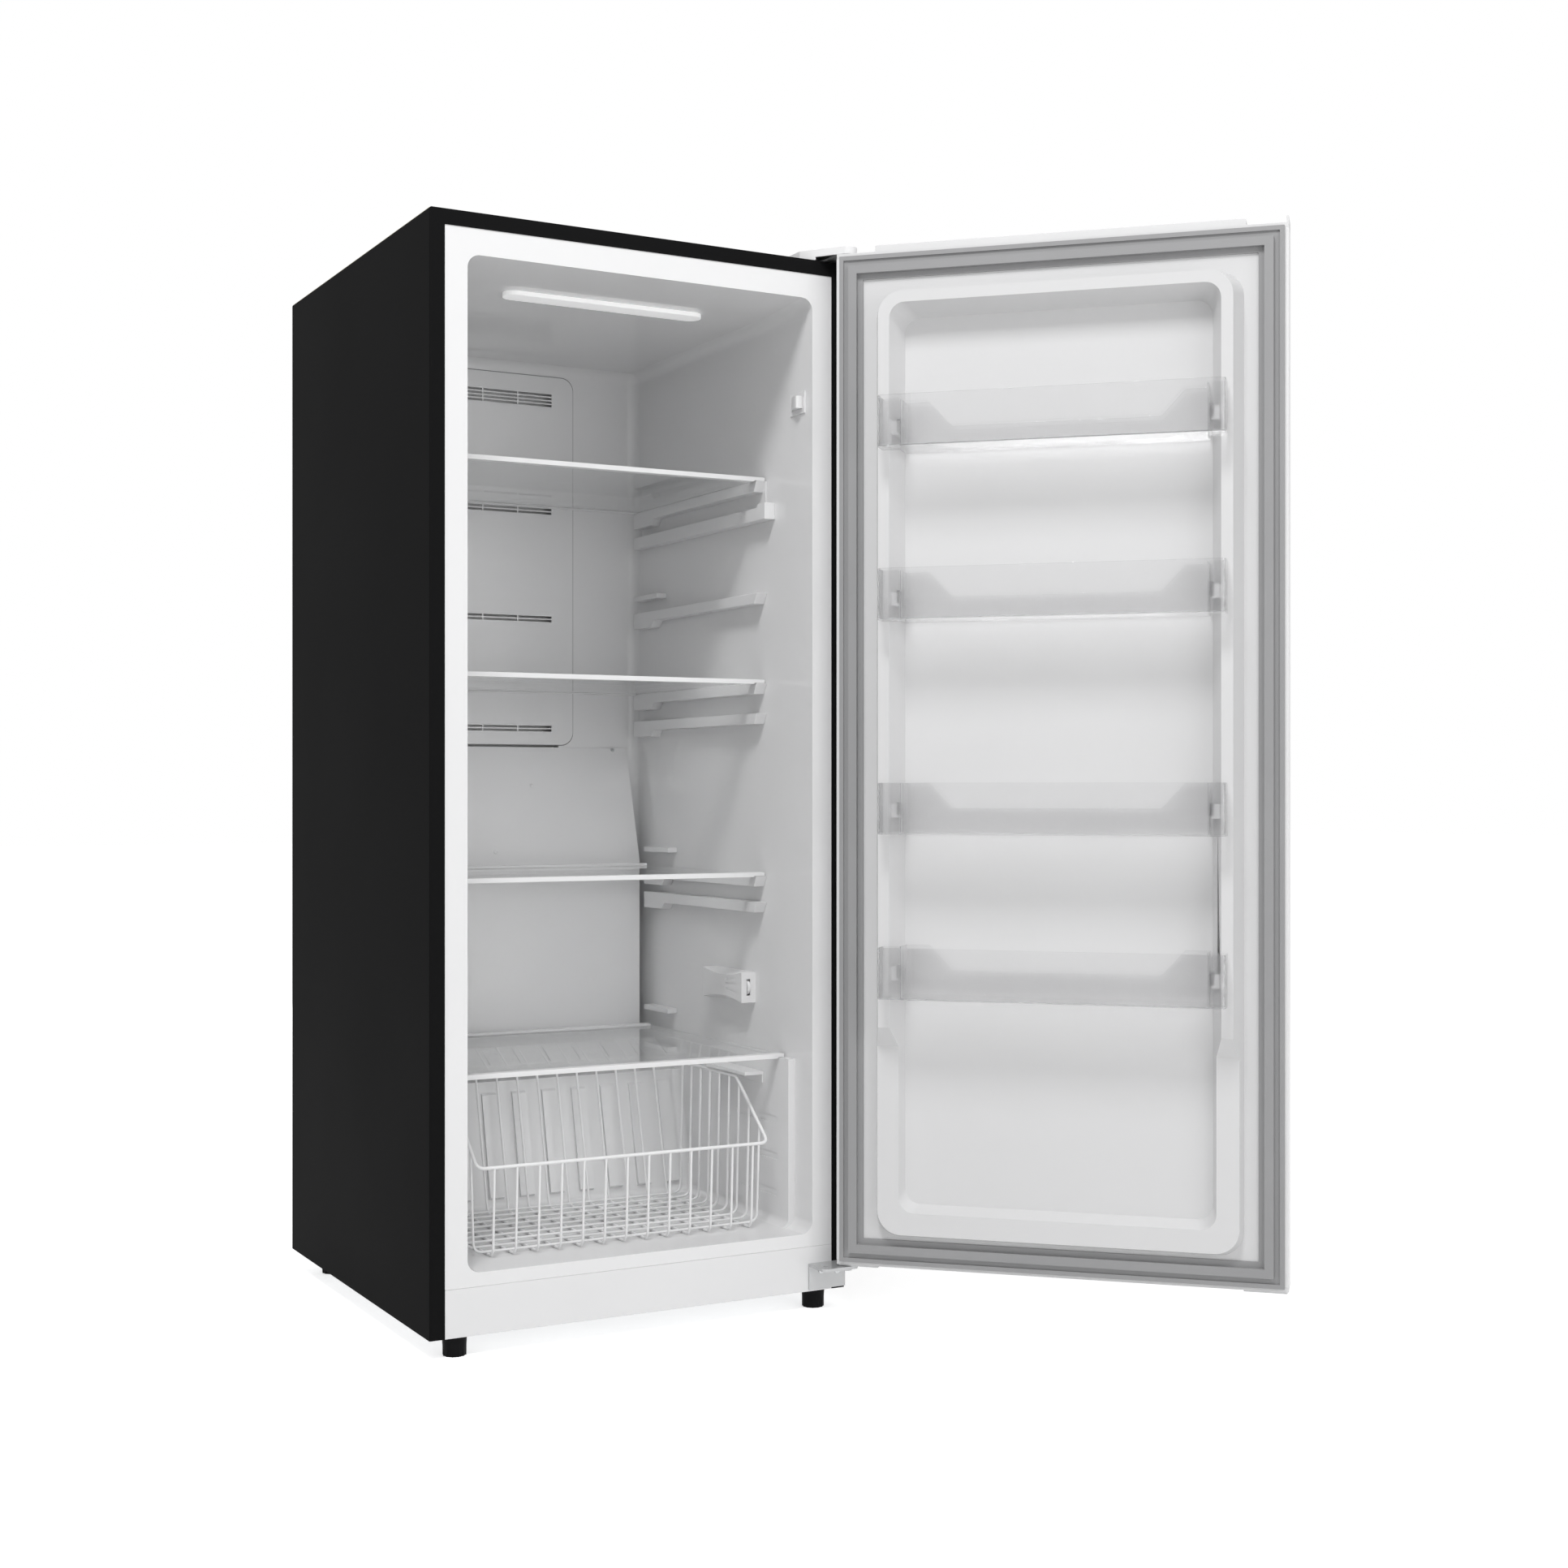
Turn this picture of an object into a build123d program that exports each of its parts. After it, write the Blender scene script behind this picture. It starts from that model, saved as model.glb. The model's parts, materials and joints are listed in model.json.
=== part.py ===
from build123d import *
import os

# Upright freezer with one right-hinged door, standing open, on four levelling feet.
# Places are given as x, depth and height: x from the cabinet's middle, depth behind the plane
# that the door gasket closes on, height above the cabinet's underside. In front of that plane
# the depth is negative. Door pieces are drawn with the door shut and then swung open.

os.makedirs("parts", exist_ok=True)

# ---------------------------------------------------------------- driving dimensions (mm)
# cabinet
cabinet_width = 714.0
cabinet_depth = 727.0
cabinet_height = 1684.0
foot_height = 30.0
sheet = 1.0                  # painted steel sheet
top_bend = 4.0               # outside radius of the folds over the top
front_bend = 1.6
front_return = 24.0          # width of the sheet's front returns
flange_tuck = 2.0            # how far the liner flange runs behind the returns
kick_height = 73.0
kick_gap = 0.3
rear_wall = 42.0             # insulation behind the upper liner
machine_wall = 44.0          # insulation over the machine compartment

# inner liner
liner_wall = 2.5
opening_side = 60.0          # from the cabinet's side to the opening
opening_head = 63.5
opening_bottom = 94.0
opening_radius = 20.0
ceiling_drop = 8.5           # ceiling below the opening's top edge
ceiling_lip = 120.0          # depth at which the sloped lip meets the flat ceiling
chamber_step = 12.0          # the lower chamber is this much narrower on each side
chamber_front = 60.0         # depth at which it narrows
mouth_top = 400.0            # top of the wide mouth in front of the lower chamber
cover_ledge = 372.0          # height of the step that carries the bottom glass
machine_depth = 299.0        # from the cabinet's back to the foot of the face over the machine
slope_run = 49.0             # that face leans back by this much
slope_height = 309.0
chamber_radius = 14.0
duct_centre = -14.0
duct_half_width = 179.5
duct_margin = 20.0           # duct cover below the ceiling
duct_bottom = 903.0
duct_lap = 28.0              # cover past the edge of its recess
duct_recess = 22.0
recess_bottom = 706.0
flute_count = 10
flute_width = 26.0
flute_side = 20.0            # outer flutes to the side walls
flute_rise = 6.0
flute_margin = 16.0
groove_heights = (145.0, 206.0, 267.0)
groove_length = 150.0
groove_width = 12.0
groove_cut = 1.2
groove_middle = 172.0

# air duct and evaporator
cover_wall = 2.5
duct_proud = 3.0             # duct cover stands this proud of the back wall
duct_corner = 24.0
vent_rows = (2, 2, 3, 4)     # rows of slots in each group, from the bottom up
vent_margins = (30.0, 44.0)  # outer groups to the cover's bottom and top edge
vent_columns = 4
vent_slot = (66.0, 4.2)
vent_spacing = (69.0, 6.6)
evaporator_top = 898.0
evaporator_bend = 685.0      # height where the cover's slope ends
evaporator_thickness = 64.0
evaporator_gap = 21.0        # cover to the side wall
grille_bottom = 324.0
grille_slot = (28.0, 7.0)
grille_spacing = (33.0, 10.6)
grille_columns = 14
grille_rows = 4
coil_margin = 41.0           # coil to the cover's outside
coil_bottom = 366.0
coil_rows = 4
coil_pitch = 76.0
coil_tube = 4.0
fin_count = 7
fin_sheet = 1.0
fin_depth = 44.0
fin_margin = 18.0
heater_radius = 5.0
heater_height = 338.0
fan_height = 740.0
fan_proud = 21.0             # fan in front of the back wall
fan_radius = 50.0
fan_blades = 5
blade_pitch = 24.0
blade_sheet = 1.6
blade_chord = 34.0
hub_radius = 15.0
hub_length = 12.0
shaft_radius = 2.5
running_fit = 0.05
motor_radius = 26.0
motor_length = 20.0
motor_foot = (80.0, 14.0)
drain_radius = 8.0
drain_inset = 30.0           # drain in front of the back wall
drain_wall = 1.5
drain_end = 190.0
trough_half_width = 210.0
trough_height = 8.0
trough_width = 40.0

# fittings on the inside walls
lens_size = (350.0, 40.0)
lens_drop = 7.0
lens_depth = 168.0
lens_wall = 1.5
board_size = (310.0, 16.0)
board_thickness = 1.6
shelf_levels = (1342.0, 999.0, 672.0)      # tops of the ledges that carry the shelves
spare_levels = (1152.0, 948.0, 628.0)      # free ledges for other shelf places
ledge_reach = 20.0
ledge_front = 156.0
ledge_clear = (35.0, 17.0)   # rear ends to the back wall above, to the evaporator cover below
low_level = 720.0            # below this height ledges and shelves are the short ones
ledge_thickness = 18.0
ledge_drop = 12.0            # the rear of each ledge is this much deeper
ledge_drop_length = 76.0
ledge_slant = 10.0
stub_levels = (1184.0, 712.0, 416.0)
stub_length = 102.0
stub_thickness = 9.0
bracket_plate = 2.5
bracket_front = 128.0
bracket_bottom_level = 1274.0
bracket_arm = 22.0
bracket_top = 90.0           # length of the plate's top edge
bracket_head = 1398.0
bracket_block = 28.0
runner_depths = (146.0, 290.0)
runner_bottom = 337.0
runner_thickness = 6.0
runner_reach = 36.0
runner_rib = 14.0

# shelves
shelf_gap = 3.0              # glass to the side wall
shelf_front = 158.0
shelf_clear = 4.0            # shelf's rear edge to the end of its ledge
glass = 4.0
seat_gap = 0.3
trim_lip = 2.0               # trim above and below the glass
trim_depth = 16.0
trim_bite = 10.0             # how far the glass runs into its trims
rear_trim_top = 9.0
cover_front = 90.0

# wire basket
basket_side = 31.0           # basket to the side walls
basket_front = 74.0
basket_front_foot = 80.0
basket_foot_gap = 30.0       # to the foot of the face behind it
basket_rear_gap = 19.0       # and to its head
basket_front_rim = 235.0
basket_rim = 332.0
basket_rise_end = 188.0
basket_toe_in = 5.0          # side wires lean in by this much at the floor
wire = 2.1
rim_wire = 2.9
wire_weld = 0.4
long_wires = 13
long_wire_inset = 28.0       # outer long wires to the rim
cross_wires = 9
cross_wire_inset = (30.0, 6.0)             # from the front rim and from the rear foot
wire_facets = 6

# door switch and air control
switch_drop = 164.5          # below the opening's top edge
switch_depths = (24.0, 72.0)
switch_tall = 36.0
switch_proud = 2.0
switch_cup = 13.0
switch_border = 5.0
switch_wall = 1.5
lever_reach = 12.5
lever_front_gap = 2.0        # room for the lever's front corner to swing
lever_tall = 20.0
lever_wall = 2.5
lever_pin = 1.5
control_height = 480.0
control_depths = (198.0, 344.0)
control_tall = 52.0
control_reach = 27.0
control_wall = 2.0
control_scoop = 10.0
control_slots = 3
control_slot = (60.0, 4.0)
control_slot_pitch = 12.0
wheel_radius = 14.0
wheel_thickness = 5.0
wheel_proud = 3.0
wheel_pin = 2.0
wheel_gap = 1.0

# machine compartment
compressor_place = (70.0, 121.0)           # x, and in front of the cabinet's back
compressor_size = (190.0, 148.0)
compressor_tall = 148.0
compressor_corner = 58.0
compressor_dome = 26.0       # sloped shoulders of the shell
compressor_sole = 16.0
seam = (4.0, 4.0)
plate_thickness = 2.0
plate_flange = 12.0
plate_gap = 3.0
grommet_radius = 11.0
grommet_height = 14.0
mount_pitch = (160.0, 100.0)
mount_tab = 22.0
tray_size = (176.0, 120.0)
tray_tall = 30.0
tray_wall = 2.0
tray_corner = 11.0
relay_size = (34.0, 66.0, 60.0)
pipe_radius = 3.5
pipe_bend = 16.0
drier_radius = 10.0
drier_length = 90.0
pipe_x = -120.0
rear_sheet = 1.2
louvre_slot = (44.0, 6.0)
louvre_spacing = (62.0, 22.0)
louvre_columns = 9
louvre_rows = 4
gland_inset = 86.0           # from the cabinet's left side
gland_height = 60.0
gland_radius = 11.0
gland_hole = 4.0
gland_length = 14.0
condenser_radius = 2.5
condenser_ends = (110.0, 117.0)            # from the cabinet's front and back
condenser_low = 360.0
condenser_drop = 124.0       # below the cabinet's top
condenser_runs = 5

# feet
foot_inset = 47.0
foot_front = 22.0
foot_back = 87.0             # rear feet in front of the cabinet's back
foot_radii = (17.0, 19.0)    # at the sole and at the top
foot_sides = 24
foot_ribs = 12
foot_rib = 2.0
stud_radius = 4.0
stud_length = 20.0
stud_gap = 1.0

# hinges
pin_inset = 13.0             # pin from the cabinet's right side
pin_forward = 32.5           # pin in front of the gasket plane
pin_radius = 5.0
pin_engagement = 18.0
pin_head = (7.0, 5.0)
door_angle = 135.0
bracket_width = 68.0
bracket_sheet = 3.0
bracket_foot = 3.0
tab_thickness = 5.0
tab_reach = 52.0
tab_radius = 12.0
tab_hole = 4.5
tab_hole_inset = 54.0
bush_radius = 8.0
arm_thickness = 4.0
arm_lift = 5.0
arm_width = 26.0
arm_reach = 46.0
arm_back = 95.0
arm_joggle = (8.0, 20.0)
arm_bend = 2.0               # the upper face of the joggle starts this much earlier
hinge_cover_tall = 17.0
hinge_cover_wall = 1.5
hinge_cover_nose = 15.5
hinge_cover_sides = (4.0, 72.0)
hinge_cover_depths = (22.0, 106.0)
hinge_cover_play = 2.0       # arm to the inside of its cover
screw_head = 5.0
screw_head_tall = 2.4
screw_shank = 2.5
arm_screws = (40.0, 82.0)
bracket_screws = ((22.0, 33.0), (52.0, 30.0))

# door
door_front = -76.0
door_back = -12.0
door_bottom = 49.0
door_over = 3.0              # the door rises this far over the cabinet
door_corner = 10.0
cap_thickness = 8.0
cap_rise = 10.0
cap_recess = 64.0
cap_lip = 3.0
skin_return = 12.0
door_liner_wall = 2.0
frame_outer = (67.0, 80.0)   # raised frame from the door's edge, at its foot and at its crest
frame_inner = (114.0, 98.0)
frame_low_outer = (51.5, 64.5)
frame_low_inner = (105.0, 76.0)
frame_high_outer = (71.0, 77.0)
frame_high_inner = (112.0, 95.0)
frame_corners = (38.0, 25.0)
frame_crest = 35.0
frame_low_crest = 8.0        # the frame steps down beside the basket
frame_step = (408.0, 440.0)
end_plate = (66.0, 34.0)
end_plate_thickness = 3.0
end_plate_inset = 2.0
plug_radius = 6.7
plug_bevel = 4.0
gasket_edges = (6.0, 45.0)   # from the door's edge
gasket_lip = (6.0, 13.0)
gasket_bulb = (22.0, 36.0)
gasket_base = 3.5
gasket_lip_rise = 6.5
gasket_wall = 1.5
gasket_touch = 0.3

# door bins
bin_drops = (330.0, 602.0)   # upper bins below the door's top
bin_rises = (699.0, 440.0)   # lower bins above its bottom
bin_height = 81.0
bin_wall = 2.2
bin_back = -8.0
bin_front = 79.0
bin_margin = 88.0            # bin's end from the door's edge
bin_neck = 116.0             # narrower part between the frame's flanks
bin_low = 41.0               # lowered middle of the rear wall
bin_shoulders = (155.0, 192.0)
bin_corner = 8.0
crest_gap = 0.8
lug_depths = (13.0, 27.0)
lug_gap = 3.0
lug_heights = (26.0, 48.0)   # above the bin's bottom
hook_wall = 2.5
hook_reach = 6.5
hook_foot = 30.0

# ---------------------------------------------------------------- places that follow from them
half_width = cabinet_width / 2
front_y = -cabinet_depth / 2
opening_half = half_width - opening_side
opening_top = cabinet_height - opening_head
ceiling = opening_top - ceiling_drop
liner_back = cabinet_depth - rear_wall
chamber_half = opening_half - chamber_step
slope_foot = cabinet_depth - machine_depth
slope_head = slope_foot + slope_run
machine_foot = slope_foot + machine_wall
machine_head = slope_head + machine_wall
machine_roof = slope_height - machine_wall
inside_half = half_width - sheet
inside_top = cabinet_height - sheet
inside_back = cabinet_depth - sheet
gland_place = (gland_inset - inside_half, gland_height)
return_edge = half_width - front_return
flange_back = sheet + liner_wall
pin_x = half_width - pin_inset
door_top = cabinet_height + door_over
hinge_axis = Axis((pin_x, front_y - pin_forward, 0), (0, 0, 1))
duct_top = ceiling - duct_margin
cover_half = opening_half - evaporator_gap
evaporator_front = liner_back - evaporator_thickness
coil_half_width = cover_half - coil_margin
fan_depth = liner_back - fan_proud
drain_place = (compressor_place[0], liner_back - drain_inset)
ledge_ends = (liner_back - ledge_clear[0], evaporator_front - ledge_clear[1])
compressor_centre = (compressor_place[0], cabinet_depth - compressor_place[1])
glass_half = opening_half - shelf_gap
ledge_face = opening_half - ledge_reach
skin_bottom = door_bottom + cap_thickness
skin_top = door_top - cap_thickness
plate_bottom = door_bottom - end_plate_thickness
tab_top = plate_bottom - seat_gap
arm_bottom = cabinet_height + arm_lift
frame_foot = door_back - door_liner_wall
compressor_foot = plate_thickness + grommet_height
compressor_head = compressor_foot + compressor_tall
fan_x = duct_centre
stud_hole = stud_radius + running_fit
switch_height = opening_top - switch_drop
switch_x = (opening_half, opening_half + switch_cup)
switch_d = (switch_depths[0] + switch_border - switch_wall,
            switch_depths[1] - switch_border + switch_wall)
switch_h = (switch_height - lever_tall / 2 - seat_gap - switch_wall,
            switch_height + lever_tall / 2 + seat_gap + switch_wall)
foot_rear = cabinet_depth - foot_back
foot_places = ((-1, foot_front), (1, foot_front), (-1, foot_rear), (1, foot_rear))
bin_bottoms = [door_top - drop for drop in bin_drops]
bin_bottoms += [door_bottom + rise for rise in bin_rises]
close = 0.05


def across(depth):
    """upright plane seen from the front: x to the right, y is height"""
    return Plane((0, front_y + depth, foot_height), x_dir=(1, 0, 0), z_dir=(0, -1, 0))


def along(x):
    """upright plane seen from the right: x is depth, y is height"""
    return Plane((x, front_y, foot_height), x_dir=(0, 1, 0), z_dir=(1, 0, 0))


def level(height):
    """level plane seen from above: x to the right, y is depth"""
    return Plane((0, front_y, foot_height + height), x_dir=(1, 0, 0), z_dir=(0, 0, 1))


def swing_open(piece):
    """turn a piece drawn with the door shut to where it stands with the door open"""
    return piece.rotate(hinge_axis, door_angle)


def block(x_span, depth_span, height_span, mode=Mode.ADD):
    """square-edged block between three pairs of limits"""
    with BuildSketch(level(height_span[0])) as foot_print:
        with Locations((sum(x_span) / 2, sum(depth_span) / 2)):
            Rectangle(x_span[1] - x_span[0], depth_span[1] - depth_span[0])
    extrude(foot_print.sketch, amount=height_span[1] - height_span[0], mode=mode)


def mirrored(span):
    """the same pair of x limits on the left and on the right side"""
    return (-span[1], -span[0]), span


def section(x_span, points, mode=Mode.ADD):
    """bar along x whose end is an outline of depth and height"""
    with BuildSketch(along(x_span[0])) as end:
        with BuildLine():
            Polyline(*points, close=True)
        make_face()
    extrude(end.sketch, amount=x_span[1] - x_span[0], mode=mode)


def round_bars(plane, centres, radius, length, mode=Mode.ADD):
    """round bars or holes of one size, from a plane along its normal"""
    with BuildSketch(plane) as ends:
        with Locations(*centres):
            Circle(radius)
    extrude(ends.sketch, amount=length, mode=mode)


def hex_bars(plane, centres, radius, length):
    """six-sided bars of one size, from a plane along its normal"""
    with BuildSketch(plane) as ends:
        with Locations(*centres):
            RegularPolygon(radius, 6)
    extrude(ends.sketch, amount=length)


def strut(start, end, radius):
    """straight faceted wire between two places given as x, depth and height"""
    start_point = Vector(start[0], front_y + start[1], foot_height + start[2])
    end_point = Vector(end[0], front_y + end[1], foot_height + end[2])
    with BuildSketch(Plane(start_point, z_dir=end_point - start_point)) as end:
        RegularPolygon(radius, wire_facets)
    extrude(end.sketch, amount=(end_point - start_point).length)


def bent_wire(plane, points, radius):
    """faceted wire that follows points on a plane"""
    with BuildLine(plane) as path:
        Polyline(*points)
    with BuildSketch(Plane(path.line @ 0, z_dir=path.line % 0)) as end:
        RegularPolygon(radius, wire_facets)
    sweep(end.sketch, path=path.line, transition=Transition.RIGHT)


def edges_at(piece, x=None, depth=None, height=None):
    """edges whose middle lies at the given place; x counts on both sides"""
    found = ShapeList()
    for edge in piece.edges():
        middle = edge.center()
        fits = x is None or abs(abs(middle.X) - x) < close
        fits = fits and (depth is None or abs(middle.Y - front_y - depth) < close)
        fits = fits and (height is None or abs(middle.Z - foot_height - height) < close)
        if fits:
            found.append(edge)
    return found


def slope_depth(height):
    """depth of the face over the machine compartment at a height"""
    share = (height - opening_bottom) / (slope_height - opening_bottom)
    return slope_foot + share * (slope_head - slope_foot)


def upper_hollow(grow, mouth):
    """the main hollow of the liner, grown by a wall"""
    side = opening_half + grow
    back = liner_back + grow
    head = ceiling + grow
    with BuildPart() as hollow:
        block((-side, side), (mouth, back), (cover_ledge - grow, head))
        rounded = edges_at(hollow, x=side, depth=back)
        rounded += edges_at(hollow, x=side, height=head)
        rounded += edges_at(hollow, x=0, depth=back, height=head)
        fillet(rounded, radius=opening_radius + grow)
    return hollow.part


def lip_hollow(grow, mouth):
    """the wedge by which the ceiling rises towards the opening's top edge"""
    side = opening_half + grow
    head = ceiling + grow
    lip = opening_top + grow
    with BuildPart() as hollow:
        section((-side, side), ((mouth, mouth_top), (ceiling_lip, mouth_top), (ceiling_lip, head),
                                (mouth, lip)))
        fillet(edges_at(hollow, x=side, height=(head + lip) / 2), radius=opening_radius + grow)
    return hollow.part


def lower_hollow(grow):
    """the narrower chamber round the basket, with the face over the machine compartment"""
    side = chamber_half + grow
    foot = opening_bottom - grow
    head = slope_height - grow
    back = liner_back + grow
    with BuildPart() as hollow:
        section((-side, side), ((chamber_front, foot), (slope_foot + grow, foot),
                                (slope_head + grow, head), (back, head), (back, mouth_top),
                                (chamber_front, mouth_top)))
        rounded = edges_at(hollow, x=side, height=foot)
        rounded += edges_at(hollow, x=side, height=(foot + head) / 2)
        rounded += edges_at(hollow, x=0, depth=slope_foot + grow, height=foot)
        fillet(rounded, radius=chamber_radius + grow)
    return hollow.part


def mouth_hollow(grow, mouth):
    """the full-width mouth in front of the lower chamber"""
    side = opening_half + grow
    with BuildPart() as hollow:
        block((-side, side), (mouth, chamber_front + grow), (opening_bottom - grow, mouth_top))
        fillet(edges_at(hollow, x=side, height=opening_bottom - grow),
               radius=opening_radius + grow)
    return hollow.part


def duct_hollow(grow):
    """the recess behind the duct cover and the fan"""
    half = duct_half_width - duct_lap + grow
    with BuildPart() as hollow:
        block((duct_centre - half, duct_centre + half), (slope_head, liner_back + duct_recess + grow),
              (recess_bottom - grow, duct_top - duct_lap + grow))
    return hollow.part


def liner_hollow(grow, mouth):
    """the whole hollow of the liner"""
    chambers = upper_hollow(grow, mouth) + lip_hollow(grow, mouth) + lower_hollow(grow)
    return chambers + mouth_hollow(grow, mouth) + duct_hollow(grow)


def ring(depth_span, margins, mode=Mode.ADD):
    """square-cornered ring on the door between two margins from its edges"""
    with BuildSketch(across(depth_span[1])) as outline:
        with Locations((0, (door_bottom + door_top) / 2)):
            Rectangle(cabinet_width - 2 * margins[0], door_top - door_bottom - 2 * margins[0])
            Rectangle(cabinet_width - 2 * margins[1], door_top - door_bottom - 2 * margins[1],
                      mode=Mode.SUBTRACT)
    extrude(outline.sketch, amount=depth_span[1] - depth_span[0], mode=mode)


def frame_loft(sides, lows, highs, corner, depths, mode=Mode.ADD):
    """sloped-sided body between two rounded outlines on the door, foot outline first"""
    outlines = []
    for side, low, high, depth in zip(sides, lows, highs, depths):
        bottom = door_bottom + low
        top = door_top - high
        with BuildSketch(across(depth)) as outline:
            with Locations((0, (bottom + top) / 2)):
                RectangleRounded(cabinet_width - 2 * side, top - bottom, corner)
        outlines.append(outline.sketch)
    loft(outlines, mode=mode)


def raised_frame(wall):
    """the frame standing on the door's inner panel, thinner by a wall"""
    crest = frame_crest - wall
    shrunk = tuple(size + wall for size in frame_outer)
    shrunk_low = tuple(size + wall for size in frame_low_outer)
    shrunk_high = tuple(size + wall for size in frame_high_outer)
    grown = tuple(size - wall for size in frame_inner)
    grown_low = tuple(size - wall for size in frame_low_inner)
    grown_high = tuple(size - wall for size in frame_high_inner)
    foot = door_back - wall
    low_crest = frame_low_crest - wall
    with BuildPart() as frame:
        frame_loft(shrunk, shrunk_low, shrunk_high, frame_corners[0] - wall, (foot, crest))
        frame_loft(grown, grown_low, grown_high, frame_corners[1] + wall, (foot, crest),
                   mode=Mode.SUBTRACT)
        section((-half_width, half_width), (
            (low_crest, 0), (low_crest, frame_step[0] - wall), (crest, frame_step[1] + wall),
            (crest + door_liner_wall, frame_step[1] + wall), (crest + door_liner_wall, 0)),
            mode=Mode.SUBTRACT)
    return frame.part


# ---------------------------------------------------------------- cabinet shell
# One sheet folded over both sides and the top, with narrow returns at the front.
with BuildPart() as outer_wrap:
    block((-half_width, half_width), (0, cabinet_depth), (0, cabinet_height))
    fillet(edges_at(outer_wrap, x=half_width, height=cabinet_height), radius=top_bend)
    fillet(edges_at(outer_wrap, x=half_width, depth=0), radius=front_bend)
    block((-inside_half, inside_half), (sheet, cabinet_depth), (0, inside_top),
          mode=Mode.SUBTRACT)
    block((-return_edge, return_edge), (0, sheet), (0, cabinet_height - front_return),
          mode=Mode.SUBTRACT)
outer_wrap.part.label = "outer_wrap"
export_step(outer_wrap.part, "parts/outer_wrap.step")

# Flat sheet that closes the back above the machine compartment.
with BuildPart() as back_panel:
    block((-inside_half, inside_half), (inside_back, cabinet_depth), (machine_roof, inside_top))
back_panel.part.label = "back_panel"
export_step(back_panel.part, "parts/back_panel.step")

# Stepped bottom sheet: flat under the cabinet, then up and over the machine compartment.
with BuildPart() as bottom_panel:
    section((-inside_half, inside_half), (
        (flange_back, 0), (machine_foot, 0), (machine_head, machine_roof),
        (inside_back, machine_roof), (inside_back, machine_roof + sheet),
        (machine_head - sheet, machine_roof + sheet), (machine_foot - sheet, sheet),
        (flange_back, sheet)))
    round_bars(level(machine_roof), [drain_place],
               drain_radius, sheet, mode=Mode.SUBTRACT)
    round_bars(level(0), [(side * (half_width - foot_inset), foot_front) for side in (-1, 1)],
               stud_hole, sheet, mode=Mode.SUBTRACT)
bottom_panel.part.label = "bottom_panel"
export_step(bottom_panel.part, "parts/bottom_panel.step")

# Shallow pan between the returns, below the liner flange.
with BuildPart() as kick_panel:
    kick_half = return_edge - kick_gap
    kick_top = kick_height - kick_gap
    block((-kick_half, kick_half), (0, flange_back), (0, kick_top))
    block((-kick_half + sheet, kick_half - sheet), (sheet, flange_back),
          (sheet, kick_top - sheet), mode=Mode.SUBTRACT)
kick_panel.part.label = "kick_panel"
export_step(kick_panel.part, "parts/kick_panel.step")

# Thermoformed liner in one piece: front flange, hollow, duct recess, flutes on the face over
# the machine compartment and three shallow grooves in each side wall of the lower chamber.
liner_inside = liner_hollow(0, 0)
liner_outside = liner_hollow(liner_wall, sheet)
with BuildPart() as inner_liner:
    flange_half = return_edge + flange_tuck
    block((-flange_half, flange_half), (sheet, flange_back),
          (kick_height, cabinet_height - front_return + flange_tuck))
    add(liner_outside)
    add(liner_inside, mode=Mode.SUBTRACT)
    flute_low = opening_bottom + flute_margin
    flute_high = slope_height - flute_margin
    flute_pitch = (2 * (chamber_half - flute_side) - flute_width) / (flute_count - 1)
    for number in range(flute_count):
        middle = (number - (flute_count - 1) / 2) * flute_pitch
        section((middle - flute_width / 2, middle + flute_width / 2), (
            (slope_depth(flute_low) + liner_wall, flute_low),
            (slope_depth(flute_low) - flute_rise, flute_low + flute_rise),
            (slope_depth(flute_high) - flute_rise, flute_high - flute_rise),
            (slope_depth(flute_high) + liner_wall, flute_high)))
    for side in (-1, 1):
        with BuildSketch(along(side * chamber_half)):
            with Locations(*[(groove_middle, height) for height in groove_heights]):
                SlotOverall(groove_length, groove_width)
        extrude(amount=side * groove_cut, mode=Mode.SUBTRACT)
    round_bars(level(slope_height - liner_wall), [drain_place],
               drain_radius, liner_wall, mode=Mode.SUBTRACT)
    block(switch_x, switch_d, switch_h, mode=Mode.SUBTRACT)
inner_liner.part.label = "inner_liner"
export_step(inner_liner.part, "parts/inner_liner.step")

# Hot-wall condenser: one pipe run up and down behind each side sheet.
with BuildPart() as condenser_tubes:
    run_pitch = (cabinet_depth - sum(condenser_ends)) / (condenser_runs - 1)
    run_ends = (condenser_low, cabinet_height - condenser_drop)
    for side in (-1, 1):
        runs = [(condenser_ends[0] + run_pitch * (number // 2), run_ends[((number + 1) // 2) % 2])
                for number in range(2 * condenser_runs)]
        bent_wire(along(side * (inside_half - condenser_radius)), runs, condenser_radius)
condenser_tubes.part.label = "condenser_tubes"
export_step(condenser_tubes.part, "parts/condenser_tubes.step")

# Foamed-in insulation between the liner and the sheets.
with BuildPart() as cabinet_foam:
    section((-inside_half, inside_half), (
        (flange_back, sheet), (machine_foot - sheet, sheet),
        (machine_head - sheet, machine_roof + sheet), (inside_back, machine_roof + sheet),
        (inside_back, inside_top), (flange_back, inside_top)))
    add(liner_outside, mode=Mode.SUBTRACT)
    add(condenser_tubes.part, mode=Mode.SUBTRACT)
    round_bars(level(machine_roof), [drain_place],
               drain_radius, slope_height - machine_roof, mode=Mode.SUBTRACT)
    round_bars(level(0), [(side * (half_width - foot_inset), foot_front) for side in (-1, 1)],
               stud_hole, stud_length + stud_gap, mode=Mode.SUBTRACT)
    block(switch_x, switch_d, switch_h, mode=Mode.SUBTRACT)
cabinet_foam.part.label = "cabinet_foam"
export_step(cabinet_foam.part, "parts/cabinet_foam.step")

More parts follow.
